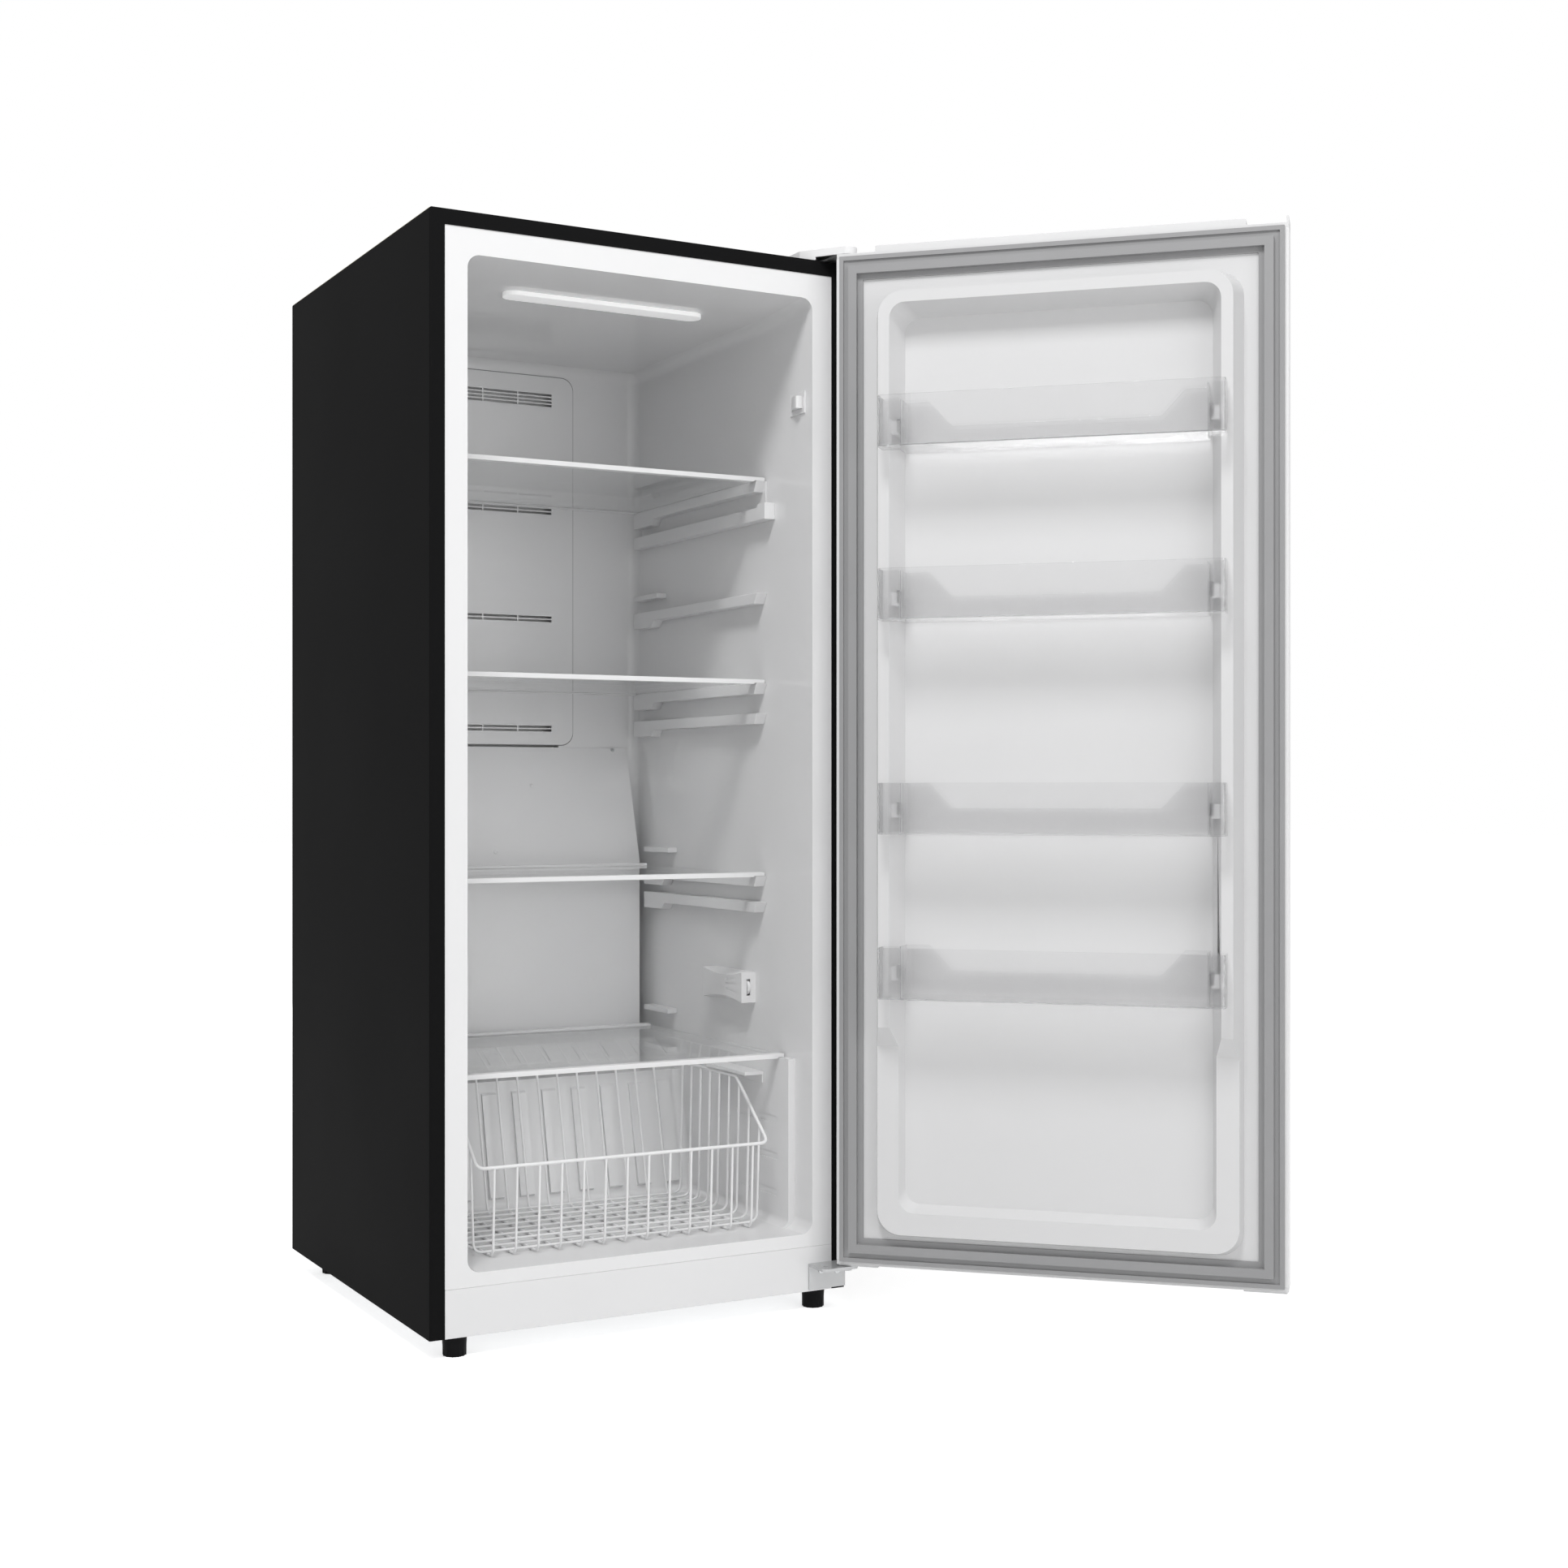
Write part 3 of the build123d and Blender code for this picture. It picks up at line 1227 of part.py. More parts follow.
# Painted sheet folded over both sides, with narrow returns at the back.
with BuildPart() as door_skin:
    door_plan((skin_bottom, skin_top), 0)
    door_plan((skin_bottom, skin_top), sheet, mode=Mode.SUBTRACT)
    return_half = half_width - skin_return
    block((-return_half, return_half), (door_back - sheet, door_back), (skin_bottom, skin_top),
          mode=Mode.SUBTRACT)
door_skin.part = swing_open(door_skin.part)
door_skin.part.label = "door_skin"
export_step(door_skin.part, "parts/door_skin.step")

# Inner liner with its raised frame and the lugs that carry the bins.
with BuildPart() as door_liner_shut:
    liner_half = return_half - seat_gap
    block((-liner_half, liner_half), (frame_foot, door_back), (skin_bottom, skin_top))
    add(raised_frame(0))
    add(raised_frame(door_liner_wall), mode=Mode.SUBTRACT)
    for bottom in bin_bottoms:
        for span in mirrored((half_width - bin_neck + lug_gap, half_width - frame_inner[1])):
            block(span, lug_depths, (bottom + lug_heights[0], bottom + lug_heights[1]))
with BuildPart() as door_liner:
    add(swing_open(door_liner_shut.part))
door_liner.part.label = "door_liner"
export_step(door_liner.part, "parts/door_liner.step")

# Foamed-in insulation between the skin, the caps and the liner.
with BuildPart() as door_foam:
    door_plan((skin_bottom, skin_top), sheet)
    block((-inside_half, inside_half), (frame_foot, door_back), (skin_bottom, skin_top),
          mode=Mode.SUBTRACT)
    add(raised_frame(0))
    add(door_liner_shut.part, mode=Mode.SUBTRACT)
    for low in (skin_bottom, door_top - pin_engagement - seat_gap):
        round_bars(level(low), [(pin_x, -pin_forward)], bush_radius,
                   pin_engagement - cap_thickness + seat_gap, mode=Mode.SUBTRACT)
door_foam.part = swing_open(door_foam.part)
door_foam.part.label = "door_foam"
export_step(door_foam.part, "parts/door_foam.step")

# Moulded top cap, raised between the ends, with a thin lip at the free edge.
with BuildPart() as door_top_cap:
    door_plan((skin_top, door_top), 0)
    block((-half_width + cap_recess, half_width - cap_recess), (door_front, door_back),
          (door_top, door_top + cap_rise))
    fillet(edges_at(door_top_cap, x=half_width - cap_recess, height=door_top + cap_rise),
           radius=cap_lip)
    block((-half_width, -half_width + cap_lip), (door_front + door_corner, door_back),
          (door_top, door_top + cap_rise))
    round_bars(level(skin_top), [(pin_x, -pin_forward)], bush_radius, cap_thickness,
               mode=Mode.SUBTRACT)
door_top_cap.part = swing_open(door_top_cap.part)
door_top_cap.part.label = "door_top_cap"
export_step(door_top_cap.part, "parts/door_top_cap.step")

# Moulded bottom cap.
with BuildPart() as door_bottom_cap:
    door_plan((door_bottom, skin_bottom), 0)
    round_bars(level(door_bottom), [(pin_x, -pin_forward)], bush_radius, cap_thickness,
               mode=Mode.SUBTRACT)
door_bottom_cap.part = swing_open(door_bottom_cap.part)
door_bottom_cap.part.label = "door_bottom_cap"
export_step(door_bottom_cap.part, "parts/door_bottom_cap.step")

# Plastic bushes in both caps that turn on the hinge pins.
with BuildPart() as door_bushes:
    for low in (door_bottom, door_top - pin_engagement - seat_gap):
        round_bars(level(low), [(pin_x, -pin_forward)], bush_radius, pin_engagement + seat_gap)
        round_bars(level(low), [(pin_x, -pin_forward)], pin_radius + running_fit,
                   pin_engagement + seat_gap, mode=Mode.SUBTRACT)
door_bushes.part = swing_open(door_bushes.part)
door_bushes.part.label = "door_bushes"
export_step(door_bushes.part, "parts/door_bushes.step")

# Steel plates under both ends; the one at the hinge turns on the tab and stops the door.
with BuildPart() as door_end_plates:
    for span in mirrored((half_width - end_plate_inset - end_plate[0],
                          half_width - end_plate_inset)):
        block(span, (-pin_forward - end_plate[1] / 2, -pin_forward + end_plate[1] / 2),
              (plate_bottom, door_bottom))
    fillet(door_end_plates.edges().filter_by(Axis.Z), radius=end_plate_inset)
    round_bars(level(plate_bottom), [(pin_x, -pin_forward)], pin_radius + running_fit,
               end_plate_thickness, mode=Mode.SUBTRACT)
door_end_plates.part = swing_open(door_end_plates.part)
door_end_plates.part.label = "door_end_plates"
export_step(door_end_plates.part, "parts/door_end_plates.step")

# Tapered plug in the foaming hole under the door.
with BuildPart() as foam_plug:
    with BuildSketch(level(door_bottom)):
        with Locations((0, (door_front + door_back) / 2)):
            Circle(plug_radius)
    extrude(amount=-plug_radius)
    chamfer(foam_plug.faces().sort_by(Axis.Z)[0].edges(), length=plug_bevel)
foam_plug.part = swing_open(foam_plug.part)
foam_plug.part.label = "foam_plug"
export_step(foam_plug.part, "parts/foam_plug.step")

# Gasket: a flat base pushed on the liner, an outer lip and a hollow magnetic bulb, mitred at
# the corners.
with BuildPart() as door_gasket:
    base_face = door_back + gasket_base
    bulb_face = -gasket_touch
    ring((door_back, base_face), gasket_edges)
    ring((base_face, door_back + gasket_lip_rise), gasket_lip)
    ring((base_face, bulb_face), gasket_bulb)
    ring((base_face, bulb_face - gasket_wall),
         (gasket_bulb[0] + gasket_wall, gasket_bulb[1] - gasket_wall), mode=Mode.SUBTRACT)
door_gasket.part = swing_open(door_gasket.part)
door_gasket.part.label = "door_gasket"
export_step(door_gasket.part, "parts/door_gasket.step")

# ---------------------------------------------------------------- door bins
# Clear moulded bins: wide in front of the frame's crest, narrower between its flanks, with
# hooks that drop over the door's lugs and a rear wall lowered in the middle.
crest_step = frame_crest + crest_gap
for number, bottom in enumerate(bin_bottoms, start=1):
    top = bottom + bin_height
    with BuildPart() as door_bin:
        for shrink, mode in ((0, Mode.ADD), (bin_wall, Mode.SUBTRACT)):
            neck = half_width - bin_neck - shrink
            end = half_width - bin_margin - shrink
            with BuildSketch(level(bottom + shrink)) as plan:
                with Locations((0, (bin_back + bin_front) / 2)):
                    Rectangle(2 * neck, bin_front - bin_back - 2 * shrink)
                with Locations((0, (crest_step + bin_front) / 2)):
                    Rectangle(2 * end, bin_front - crest_step - 2 * shrink)
                fillet(plan.vertices().group_by(Axis.Y)[-1], radius=bin_corner - shrink)
            extrude(amount=bin_height, mode=mode)
        block((-half_width, half_width), (bin_back, bin_front), (top, top + bin_height),
              mode=Mode.SUBTRACT)
        with BuildSketch(across(bin_back + bin_wall)):
            with BuildLine():
                Polyline((-half_width + bin_shoulders[0], top),
                         (-half_width + bin_shoulders[1], bottom + bin_low),
                         (half_width - bin_shoulders[1], bottom + bin_low),
                         (half_width - bin_shoulders[0], top), close=True)
            make_face()
        extrude(amount=bin_wall, mode=Mode.SUBTRACT)
        hook_top = bottom + lug_heights[1] + seat_gap
        for span in mirrored((half_width - bin_neck, half_width - bin_neck + hook_reach)):
            block(span, (lug_depths[0] - seat_gap - hook_wall, lug_depths[1] + seat_gap + hook_wall),
                  (bottom + hook_foot, hook_top + hook_wall))
            block(span, (lug_depths[0] - seat_gap, lug_depths[1] + seat_gap),
                  (bottom + hook_foot, hook_top), mode=Mode.SUBTRACT)
    door_bin.part = swing_open(door_bin.part)
    door_bin.part.label = "bin_" + str(number)
    export_step(door_bin.part, "parts/bin_" + str(number) + ".step")
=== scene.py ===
import json
import math

import bpy
from mathutils import Matrix, Vector

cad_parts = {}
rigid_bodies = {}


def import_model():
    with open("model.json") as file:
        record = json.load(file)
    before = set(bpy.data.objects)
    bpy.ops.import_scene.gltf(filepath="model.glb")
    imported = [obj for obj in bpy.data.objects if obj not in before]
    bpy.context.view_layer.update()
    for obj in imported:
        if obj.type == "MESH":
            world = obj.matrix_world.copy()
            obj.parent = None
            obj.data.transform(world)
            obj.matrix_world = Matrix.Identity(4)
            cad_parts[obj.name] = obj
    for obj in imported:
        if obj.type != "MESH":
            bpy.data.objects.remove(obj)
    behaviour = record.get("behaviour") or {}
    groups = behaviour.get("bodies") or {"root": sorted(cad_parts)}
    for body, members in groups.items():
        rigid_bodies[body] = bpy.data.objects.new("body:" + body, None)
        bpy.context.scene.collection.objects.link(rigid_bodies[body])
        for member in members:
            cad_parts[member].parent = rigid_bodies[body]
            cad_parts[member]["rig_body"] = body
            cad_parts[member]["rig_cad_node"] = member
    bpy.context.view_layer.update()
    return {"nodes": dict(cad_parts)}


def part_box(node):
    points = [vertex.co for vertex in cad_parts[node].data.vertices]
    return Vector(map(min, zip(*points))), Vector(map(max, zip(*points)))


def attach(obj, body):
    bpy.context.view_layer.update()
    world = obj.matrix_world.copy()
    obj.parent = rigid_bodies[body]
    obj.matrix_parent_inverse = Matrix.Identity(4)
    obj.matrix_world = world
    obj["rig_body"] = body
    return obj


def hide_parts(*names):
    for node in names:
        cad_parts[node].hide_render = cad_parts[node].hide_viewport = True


# An upright freezer with its door standing open: a black cabinet with a white lining, glass
# shelves, a wire basket below, and a white door with four clear bins.

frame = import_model()


# ------------------------------------------------------------------ cabinet sheet
# One sheet of black painted steel, folded over both sides and the top, with narrow returns
# round the front. The paint has the faint ripple of a rolled coating.

def deselect_all():
    bpy.ops.object.select_all(action="DESELECT")


def pick(*pieces):
    """select pieces and nothing else, with the first one active"""
    deselect_all()
    bpy.context.view_layer.objects.active = pieces[0]
    for piece in pieces:
        piece.select_set(True)


def ripple_group():
    """fine height for a bump, and soft clouds for small changes of shade and gloss"""
    group = bpy.data.node_groups.new("ripple", "ShaderNodeTree")
    for name in ("Grain Size", "Cloud Size"):
        group.interface.new_socket(name, in_out="INPUT", socket_type="NodeSocketFloat")
    for name in ("Height", "Clouds"):
        group.interface.new_socket(name, in_out="OUTPUT", socket_type="NodeSocketFloat")
    inside = group.nodes.new("NodeGroupInput")
    outside = group.nodes.new("NodeGroupOutput")
    place = group.nodes.new("ShaderNodeTexCoord")
    grain = group.nodes.new("ShaderNodeTexNoise")
    clouds = group.nodes.new("ShaderNodeTexNoise")
    grain.inputs["Detail"].default_value = 2
    clouds.inputs["Detail"].default_value = 3
    group.links.new(place.outputs["Object"], grain.inputs["Vector"])
    group.links.new(place.outputs["Object"], clouds.inputs["Vector"])
    group.links.new(inside.outputs["Grain Size"], grain.inputs["Scale"])
    group.links.new(inside.outputs["Cloud Size"], clouds.inputs["Scale"])
    group.links.new(grain.outputs["Fac"], outside.inputs["Height"])
    group.links.new(clouds.outputs["Fac"], outside.inputs["Clouds"])
    return group


ripple = ripple_group()


def new_material(name):
    """a material, its node tree and its shader"""
    material = bpy.data.materials.new(name)
    material.use_nodes = True
    return material, material.node_tree, material.node_tree.nodes["Principled BSDF"]


def spread(tree, value, low, high, value_low=0.0, value_high=1.0):
    """a node's value, laid over the range from low to high"""
    spreader = tree.nodes.new("ShaderNodeMapRange")
    spreader.inputs["From Min"].default_value = value_low
    spreader.inputs["From Max"].default_value = value_high
    spreader.inputs["To Min"].default_value = low
    spreader.inputs["To Max"].default_value = high
    tree.links.new(value, spreader.inputs["Value"])
    return spreader.outputs["Result"]


def add_ripple(tree, shader, grain, bump, clouds=6.0):
    """give a shader the ripple's fine height, and hand back the ripple's clouds"""
    waves = tree.nodes.new("ShaderNodeGroup")
    waves.node_tree = ripple
    waves.inputs["Grain Size"].default_value = grain
    waves.inputs["Cloud Size"].default_value = clouds
    height = tree.nodes.new("ShaderNodeBump")
    height.inputs["Strength"].default_value = bump
    height.inputs["Distance"].default_value = 0.001
    tree.links.new(waves.outputs["Height"], height.inputs["Height"])
    tree.links.new(height.outputs["Normal"], shader.inputs["Normal"])
    return waves.outputs["Clouds"]


def surface(name, colour, roughness, grain=400.0, bump=0.02, clouds=6.0, shade=0.02, gloss=0.015,
            metallic=0.0, coat=0.0, specular=0.5):
    """a solid finish whose colour, gloss and height change a little over the surface"""
    cloud_low, cloud_high = 0.3, 0.7
    material, tree, shader = new_material(name)
    drift = add_ripple(tree, shader, grain, bump, clouds)
    tint = spread(tree, drift, 1 - shade, 1 + shade, cloud_low, cloud_high)
    rough = spread(tree, drift, roughness - gloss, roughness + gloss, cloud_low, cloud_high)
    colours = tree.nodes.new("ShaderNodeVectorMath")
    colours.operation = "SCALE"
    colours.inputs[0].default_value = colour
    tree.links.new(tint, colours.inputs["Scale"])
    tree.links.new(colours.outputs["Vector"], shader.inputs["Base Color"])
    tree.links.new(rough, shader.inputs["Roughness"])
    shader.inputs["Metallic"].default_value = metallic
    shader.inputs["Coat Weight"].default_value = coat
    shader.inputs["Specular IOR Level"].default_value = specular
    return material


def finish_node(name, material):
    """give a CAD node its finish"""
    node = frame["nodes"][name]
    node.data.materials.clear()
    node.data.materials.append(material)


def apply_modifier(piece, modifier):
    pick(piece)
    bpy.ops.object.modifier_apply(modifier=modifier.name)


def round_edges(piece, width, segments=2, angle=35):
    """soften the sharp edges of a piece"""
    rounding = piece.modifiers.new("edges", "BEVEL")
    rounding.width = width
    rounding.segments = segments
    rounding.limit_method = "ANGLE"
    rounding.angle_limit = math.radians(angle)
    rounding.use_clamp_overlap = True
    rounding.miter_outer = "MITER_ARC"
    apply_modifier(piece, rounding)


def smooth(piece, angle=35):
    """shade the bends smoothly and the flat faces flat"""
    pick(piece)
    bpy.ops.object.shade_smooth_by_angle(angle=math.radians(angle))
    even = piece.modifiers.new("even", "WEIGHTED_NORMAL")
    even.weight = 100
    even.keep_sharp = True
    apply_modifier(piece, even)
    deselect_all()


def dress(piece, name, body, material):
    """name a finished piece, and say what carries it and what it is made of"""
    piece.name = name
    piece.data.name = name
    piece.data.materials.clear()
    piece.data.materials.append(material)
    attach(piece, body)


def finished_copy(name, edge, material):
    """a CAD node's copy with merged corners and soft edges, which shows in its place"""
    merge_distance, flat_angle = 0.00002, math.radians(0.3)
    node = frame["nodes"][name]
    copy = node.copy()
    copy.data = node.data.copy()
    copy.parent = None
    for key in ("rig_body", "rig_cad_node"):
        if key in copy:
            del copy[key]
    bpy.context.scene.collection.objects.link(copy)
    pick(copy)
    bpy.ops.object.mode_set(mode="EDIT")
    bpy.ops.mesh.select_all(action="SELECT")
    bpy.ops.mesh.remove_doubles(threshold=merge_distance)
    bpy.ops.mesh.customdata_custom_splitnormals_clear()
    bpy.ops.mesh.dissolve_limited(angle_limit=flat_angle)
    bpy.ops.object.mode_set(mode="OBJECT")
    if edge:
        round_edges(copy, edge)
    smooth(copy)
    dress(copy, name + "_finished", node["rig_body"], material)
    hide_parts(name)
    return copy


deselect_all()
black_paint = surface("black_paint", (0.0095, 0.0095, 0.0098), 0.45, grain=900, bump=0.04,
                      clouds=3, shade=0.01, gloss=0.02, specular=0.004)
finished_copy("outer_wrap", 0, black_paint)

# ------------------------------------------------------------------ back and bottom sheets
# Bare galvanised steel with its crystal pattern: the back panel, the stepped bottom, the base
# plate of the machine compartment and the fan's motor. The compartment's cover is black coated
# steel.


def spangle_group():
    """the crystals of a hot-dip zinc coat: a shade and a gloss for each"""
    group = bpy.data.node_groups.new("zinc_crystals", "ShaderNodeTree")
    group.interface.new_socket("Size", in_out="INPUT", socket_type="NodeSocketFloat")
    group.interface.new_socket("Shade", in_out="OUTPUT", socket_type="NodeSocketFloat")
    group.interface.new_socket("Gloss", in_out="OUTPUT", socket_type="NodeSocketFloat")
    inside = group.nodes.new("NodeGroupInput")
    outside = group.nodes.new("NodeGroupOutput")
    place = group.nodes.new("ShaderNodeTexCoord")
    crystals = group.nodes.new("ShaderNodeTexVoronoi")
    crystals.inputs["Randomness"].default_value = 1.0
    parts = group.nodes.new("ShaderNodeSeparateColor")
    group.links.new(place.outputs["Object"], crystals.inputs["Vector"])
    group.links.new(inside.outputs["Size"], crystals.inputs["Scale"])
    group.links.new(crystals.outputs["Color"], parts.inputs["Color"])
    group.links.new(parts.outputs["Red"], outside.inputs["Shade"])
    group.links.new(parts.outputs["Green"], outside.inputs["Gloss"])
    return group


zinc_crystals = spangle_group()


def zinc_sheet(name, dark, light, size):
    """galvanised steel between two greys"""
    glossiest, dullest = 0.4, 0.5
    material, tree, shader = new_material(name)
    crystals = tree.nodes.new("ShaderNodeGroup")
    crystals.node_tree = zinc_crystals
    crystals.inputs["Size"].default_value = size
    shades = tree.nodes.new("ShaderNodeMix")
    shades.data_type = "RGBA"
    shades.inputs["A"].default_value = (*dark, 1)
    shades.inputs["B"].default_value = (*light, 1)
    rough = spread(tree, crystals.outputs["Gloss"], glossiest, dullest)
    tree.links.new(crystals.outputs["Shade"], shades.inputs["Factor"])
    tree.links.new(shades.outputs["Result"], shader.inputs["Base Color"])
    tree.links.new(rough, shader.inputs["Roughness"])
    shader.inputs["Metallic"].default_value = 0.9
    return material


zinc = zinc_sheet("zinc", dark=(0.5, 0.51, 0.52), light=(0.58, 0.59, 0.6), size=55.0)
for name in ("back_panel", "bottom_panel", "compressor_plate", "fan_motor"):
    finish_node(name, zinc)
coated_black = surface("coated_black", (0.018, 0.018, 0.019), 0.5, grain=500, bump=0.12,
                       specular=0.3)
finished_copy("machine_cover", 0, coated_black)

# ------------------------------------------------------------------ insulation
# Rigid polyurethane foam between liner and sheets, closed in on all sides.
foam_yellow = surface("foam_yellow", (0.75, 0.66, 0.42), 0.9, grain=300, bump=0.4, shade=0.06)
for name in ("cabinet_foam", "door_foam"):
    finish_node(name, foam_yellow)

# ------------------------------------------------------------------ inner liner and kick panel
# Glossy white thermoformed plastic with its flange, and the white painted pan below it.
liner_white = surface("liner_white", (0.78, 0.78, 0.785), 0.15, grain=180, bump=0.012,
                      clouds=5, shade=0.005, gloss=0.01)
finished_copy("inner_liner", 0, liner_white)
kick_white = surface("kick_white", (0.76, 0.76, 0.765), 0.32, grain=700, bump=0.03, clouds=5,
                     shade=0.008)
finished_copy("kick_panel", 0.0006, kick_white)

# ------------------------------------------------------------------ duct and evaporator covers
# White moulded covers over the air duct and the evaporator. The lower one is held by two
# cross-head screws near its top edge, and two small round plugs close its moulding holes.
finished_copy("duct_cover", 0, liner_white)
evaporator_cover = finished_copy("evaporator_cover", 0, liner_white)

# A thin strip of dark grey shows round the duct cover: a foam seal against the wall, whose dark
# grey is also painted shadow for the gap at the cover's edge.
seal_and_shadow_grey = surface("seal_and_shadow_grey", (0.22, 0.22, 0.225), 0.8, grain=900, bump=0.2)
duct_low, duct_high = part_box("duct_cover")
seal_width, seal_lap, seal_sunk, seal_proud = 0.0016, 0.001, 0.0002, 0.0008
duct_corner = 0.024
deselect_all()
bpy.ops.mesh.primitive_plane_add(size=1, rotation=(math.radians(90), 0, 0))
seal = bpy.context.object
bpy.ops.object.transform_apply(location=False, rotation=True, scale=False)
seal_place = ((duct_low[0] + duct_high[0]) / 2, duct_high[1] - seal_sunk,
              (duct_low[2] + duct_high[2]) / 2)
seal_size = (duct_high[0] - duct_low[0] + 2 * seal_width, 1,
             duct_high[2] - duct_low[2] + 2 * seal_width, 1)
seal.data.transform(Matrix.Translation(seal_place) @ Matrix.Diagonal(seal_size))
bpy.ops.object.mode_set(mode="EDIT")
bpy.ops.mesh.select_all(action="SELECT")
bpy.ops.mesh.bevel(offset=duct_corner, segments=8, affect="VERTICES")
bpy.ops.mesh.select_all(action="SELECT")
bpy.ops.mesh.inset(thickness=seal_width + seal_lap)
bpy.ops.mesh.delete(type="FACE")
bpy.ops.mesh.select_all(action="SELECT")
bpy.ops.mesh.extrude_region_move(TRANSFORM_OT_translate={"value": (0, -seal_proud, 0)})
bpy.ops.mesh.select_all(action="SELECT")
bpy.ops.mesh.normals_make_consistent(inside=False)
bpy.ops.object.mode_set(mode="OBJECT")
dress(seal, "duct_seal_and_shadow_strip", "cabinet", seal_and_shadow_grey)


def on_cover(x, z):
    """the place and facing of the evaporator cover's front at an x and a height"""
    return evaporator_cover.ray_cast(Vector((x, 0, z)), Vector((0, 1, 0)))[1:3]


def cut_away(piece, tool):
    """take a tool's shape out of a piece"""
    cut = piece.modifiers.new("cut", "BOOLEAN")
    cut.operation = "DIFFERENCE"
    cut.object = tool
    apply_modifier(piece, cut)
    bpy.data.objects.remove(tool)


def cross_head(radius, tall):
    """a low round screw head with a crossed recess, standing on the origin"""
    edge_share, slit_share, arm_share = 0.4, 0.24, 1.2
    deselect_all()
    bpy.ops.mesh.primitive_cylinder_add(vertices=20, radius=radius, depth=tall,
                                        location=(0, 0, tall / 2))
    head = bpy.context.object
    bpy.ops.object.transform_apply(location=True, rotation=False, scale=False)
    round_edges(head, tall * edge_share, segments=3)
    for width, length in ((slit_share, arm_share), (arm_share, slit_share)):
        bpy.ops.mesh.primitive_cube_add(size=1, location=(0, 0, tall))
        recess = bpy.context.object
        recess.scale = (radius * width, radius * length, tall)
        bpy.ops.object.transform_apply(location=False, rotation=False, scale=True)
        cut_away(head, recess)
    return head


def join(pieces):
    """make one piece of several"""
    pick(*pieces)
    bpy.ops.object.join()
    return bpy.context.object


def stand_at(model, places):
    """copies of a model, each on its place and turned to its facing, joined into one piece"""
    copies = []
    for place, facing in places:
        copy = model.copy()
        copy.data = model.data.copy()
        bpy.context.scene.collection.objects.link(copy)
        turn = Vector(facing).to_track_quat("Z", "Y").to_matrix().to_4x4()
        copy.data.transform(Matrix.Translation(place) @ turn)
        copies.append(copy)
    bpy.data.objects.remove(model)
    joined = join(copies)
    smooth(joined)
    return joined


screw_side, screw_height = 0.247, 0.924
plug_radius, plug_flatness = 0.0042, 0.35
plug_places = ((0.0746, 0.856), (-0.01, 0.735))
cover_screws = stand_at(cross_head(radius=0.004, tall=0.0016),
                        [on_cover(x, screw_height) for x in (-screw_side, screw_side)])
screw_steel = surface("screw_steel", (0.62, 0.63, 0.64), 0.3, grain=300, metallic=0.8)
dress(cover_screws, "cover_screws", "cabinet", screw_steel)
deselect_all()
bpy.ops.mesh.primitive_uv_sphere_add(segments=20, ring_count=8, radius=plug_radius)
plug = bpy.context.object
plug.data.transform(Matrix.Diagonal((1, 1, plug_flatness, 1)))
cover_plugs = stand_at(plug, [on_cover(x, z) for x, z in plug_places])
dress(cover_plugs, "cover_plugs", "cabinet", liner_white)

# ------------------------------------------------------------------ evaporator and fan
# Aluminium coil and heater rod, a black fan, and the pale grey drain and drip tray. The
# compressor's relay box is of the fan's plastic.
aluminium = surface("fin_aluminium", (0.75, 0.76, 0.77), 0.35, grain=250, metallic=1.0,
                    shade=0.05, gloss=0.1)
for name in ("evaporator_coil", "defrost_heater"):
    finish_node(name, aluminium)
dark_plastic = surface("dark_plastic", (0.007, 0.007, 0.0075), 0.5, grain=600, bump=0.08,
                       specular=0.06)
for name in ("fan_blade", "relay_box"):
    finish_node(name, dark_plastic)
tray_grey = surface("tray_grey", (0.5, 0.5, 0.51), 0.45, grain=500, bump=0.05)
for name in ("drain_tube", "drip_tray"):
    finish_node(name, tray_grey)

# ------------------------------------------------------------------ light
# Long frosted diffuser under the ceiling, with a faint glow, and a narrow light board above it.
lens_glow = 0.28
lens_white = surface("lens_white", (0.85, 0.85, 0.85), 0.45, grain=500, bump=0.03)
lens_shader = lens_white.node_tree.nodes["Principled BSDF"]
lens_shader.inputs["Emission Color"].default_value = (1, 1, 1, 1)
lens_shader.inputs["Emission Strength"].default_value = lens_glow
finished_copy("light_lens", 0.0006, lens_white)
finish_node("light_board", surface("board_green", (0.05, 0.16, 0.08), 0.4, grain=800, bump=0.1))

# ------------------------------------------------------------------ switch, control, supports
# White moulded pieces clipped to the liner's side walls, with a faint eroded grain.
trim_white = surface("trim_white", (0.77, 0.77, 0.775), 0.33, grain=900, bump=0.05, shade=0.01)
for name, edge in (("switch_housing", 0.0006), ("switch_lever", 0.0008),
                   ("control_wheel", 0.0004), ("shelf_supports", 0.0012),
                   ("basket_runners", 0.001)):
    finished_copy(name, edge, trim_white)


def block(low, high):
    """a box between two corners"""
    deselect_all()
    bpy.ops.mesh.primitive_cube_add(size=1)
    box = bpy.context.object
    low, high = Vector(low), Vector(high)
    box.data.transform(Matrix.Translation((low + high) / 2) @ Matrix.Diagonal((*(high - low), 1)))
    return box


